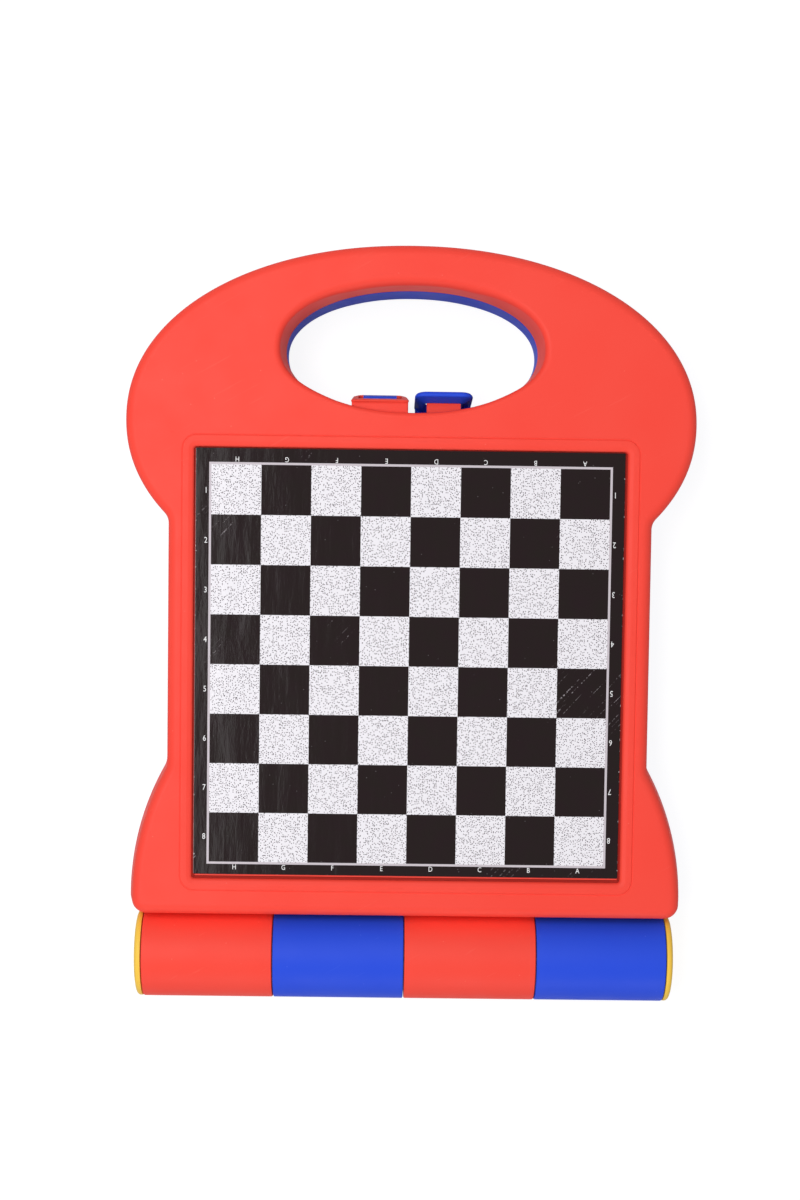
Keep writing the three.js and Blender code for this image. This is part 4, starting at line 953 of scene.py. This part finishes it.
# Screws and pins: zinc-plated steel, turned and rolled. Four screws hold the circuit board, four the console and four
# the liner, one the battery door, and a pin driven through each half carries its latch.

for kind, body in (("board", "base"), ("console", "base"), ("liner", "lid")):
    for i in (1, 2, 3, 4):
        merged_copy(f"{kind}_screw_{i}", f"{kind}_screw_{i}_head", steel, body, "screw_steel", 0.1)
for colour, body in (("blue", "base"), ("red", "lid")):
    merged_copy(f"{colour}_latch_pin", f"{colour}_latch_pin_rod", steel, body, "screw_steel", 0.1)
merged_copy("battery_door_screw", "door_screw_head", steel, "battery_door", "screw_steel", 0.1)


# Keys: moulded caps with shallow dished tops and printed legends, each on a flange that stays under the panel. The
# eight square ones name a file and a rank, the four long ones are the commands.

FLANGE_REACH = 1.2
FLANGE_TOP_Z = 14.05
DISH = 0.35


def key_parts(low, high):
    """One key from its box: a profile carried inwards round the flange's outline makes flange, wall and rounded top
    edge, and the top is rings that shrink to the middle by s, sunk by dish (1 - s^2)."""
    centre = (low[:2] + high[:2]) / 2
    half_x, half_y = (high[:2] - low[:2]) / 2
    ring, normals = ring_of(half_x, half_y, 3.0, centre)
    edge = [
        [0.0, low[2]], [0.0, FLANGE_TOP_Z], [FLANGE_REACH, FLANGE_TOP_Z], [FLANGE_REACH + 0.05, high[2] - 1.0],
        [FLANGE_REACH + 0.12, high[2] - 0.55], [FLANGE_REACH + 0.35, high[2] - 0.18],
        [FLANGE_REACH + 0.7, high[2] - 0.03], [FLANGE_REACH + 1.1, high[2]],
    ]
    wall = carried(ring, normals, np.array(edge)[None])
    shrink = np.array([1.0, 0.85, 0.7, 0.5, 0.3, 0.1])
    top_xy = centre + (wall[:, -1:, :2] - centre) * shrink[None, :, None]
    top_z = np.broadcast_to((high[2] - DISH * (1 - shrink**2))[None, :, None], top_xy.shape[:2] + (1,))
    top = np.concatenate([top_xy, top_z], axis=2)
    return [
        (wall.reshape(-1, 3), grid_faces(*wall.shape[:2], closed_rows=True)),
        (top.reshape(-1, 3), grid_faces(*top.shape[:2], closed_rows=True)),
        flat_fill([wall[:, 0, :2]], low[2]),
        flat_fill([top[:, -1, :2]], top[0, -1, 2]),
    ]


key_plastic = moulded_plastic("light_grey_key_plastic", "#d9d9d4", "#e6e6e2", 0.4, 0.3, 0.05)
command_plastic = moulded_plastic("red_key_plastic", "#e04a38", "#ee6a58", 0.4, 0.3, 0.05)
key_ink = printing_ink("black_key_ink", "#202024")
square_keys = [(key, key.upper(), 3.6) for key in ("a1", "b2", "c3", "d4", "e5", "f6", "g7", "h8")]
command_keys = [(key, key.upper().replace("_GAME", ""), 2.8) for key in ("clear", "level", "new_game", "enter")]
for keys, plastic, ink, slot in (
    (square_keys, key_plastic, key_ink, "key_plastic"),
    (command_keys, command_plastic, white_ink, "command_key_plastic"),
):
    for key, legend, height in keys:
        low, high = (np.array(corner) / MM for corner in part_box(f"key_{key}"))
        cap = solid_piece(f"key_{key}_cap", key_parts(low, high), plastic, shift=ORIGIN)
        mounted(cap, f"key_{key}", slot, f"key_{key}")
        x, y = (low[:2] + high[:2]) / 2
        mark = lettering(f"key_{key}_legend", [(legend, x, y, high[2] - DISH, height, 0)], ink, 0.14)
        mounted(mark, f"key_{key}", slot)


# Studio: a pale floor under an even white room, a large soft lamp over the left side, which the gloss of the printed
# board picks up, a weak one far to the right and a low one in front. The floor shows white to the camera and keeps
# the case's shadow.

floor_mesh = bpy.data.meshes.new("studio_floor")
floor_mesh.from_pydata([(-3, -3, 0), (3, -3, 0), (3, 3, 0), (-3, 3, 0)], [], [(0, 1, 2, 3)])
floor = bpy.data.objects.new("studio_floor", floor_mesh)
bpy.context.scene.collection.objects.link(floor)
floor_paper, node, shader, place = new_material("pale_matt_floor")
rays = node("LightPath")
seen = node("Math", {0: rays.outputs["Is Camera Ray"], 1: rays.outputs["Is Transmission Ray"]}, operation="MAXIMUM")
shown = node("Mix", {0: seen, 6: (0.48, 0.48, 0.48, 1.0), 7: (0.2, 0.2, 0.2, 1.0)}, data_type="RGBA")
fill(shader, {"Base Color": shown, "Roughness": 1.0, "Specular IOR Level": 0.0, "Emission Color": (1.0, 1.0, 1.0, 1.0)})
mirrored = node("Math", {0: rays.outputs["Is Glossy Ray"], 1: 0.3}, operation="MULTIPLY")
glow = node("Math", {0: seen, 1: 0.89, 2: mirrored}, operation="MULTIPLY_ADD")
fill(shader, {"Emission Strength": glow})
floor_mesh.materials.append(floor_paper)

world = bpy.data.worlds.new("white_room")
bpy.context.scene.world = world
world.use_nodes = True
world.node_tree.nodes.clear()
node = partial(add_node, world.node_tree)
rays = node("LightPath")
seen = node("Math", {0: rays.outputs["Is Camera Ray"], 1: rays.outputs["Is Glossy Ray"]}, operation="MAXIMUM")
seen = node("Math", {0: seen, 1: rays.outputs["Is Transmission Ray"]}, operation="MAXIMUM")
level = node("Mix", {0: seen, 6: (0.355, 0.355, 0.355, 1.0), 7: (1.0, 1.0, 1.0, 1.0)}, data_type="RGBA")
background = node("Background", {"Color": level})
node("OutputWorld", {"Surface": background})


def soft_lamp(name, place, aim, size_x, size_y, watts):
    """A rectangular area lamp at place, turned to shine at aim."""
    lamp = bpy.data.lights.new(name, "AREA")
    lamp.shape = "RECTANGLE"
    lamp.size = size_x
    lamp.size_y = size_y
    lamp.energy = watts
    holder = bpy.data.objects.new(name, lamp)
    direction = np.array(aim) - np.array(place)
    flat = math.hypot(direction[0], direction[1])
    holder.location = place
    holder.rotation_euler = (math.atan2(flat, -direction[2]), 0.0, math.atan2(-direction[0], direction[1]))
    bpy.context.scene.collection.objects.link(holder)
    return holder


soft_lamp("left_softbox", (-0.54, 0.25, 1.5), (-0.54, 0.27, 0.0), 0.65, 1.3, 17.0)
soft_lamp("right_softbox", (1.2, 0.5, 1.5), (0.0, 0.0, 0.0), 1.0, 1.0, 1.3)
soft_lamp("front_softbox", (0.1, -1.4, 0.6), (0.0, -0.15, 0.02), 1.0, 0.5, 4.4)

camera_data = bpy.data.cameras.new("camera")
camera_data.sensor_width = 36.0
camera_data.lens = 60.9
camera_data.shift_y = 0.125
camera_data.clip_start = 0.05
camera = bpy.data.objects.new("camera", camera_data)
camera.location = (-0.0134, 0.0036, 0.940)
camera.rotation_euler = tuple(math.radians(angle) for angle in (-3.71, -0.59, 0.76))
bpy.context.scene.collection.objects.link(camera)
bpy.context.scene.camera = camera
bpy.context.scene.view_settings.view_transform = "Standard"
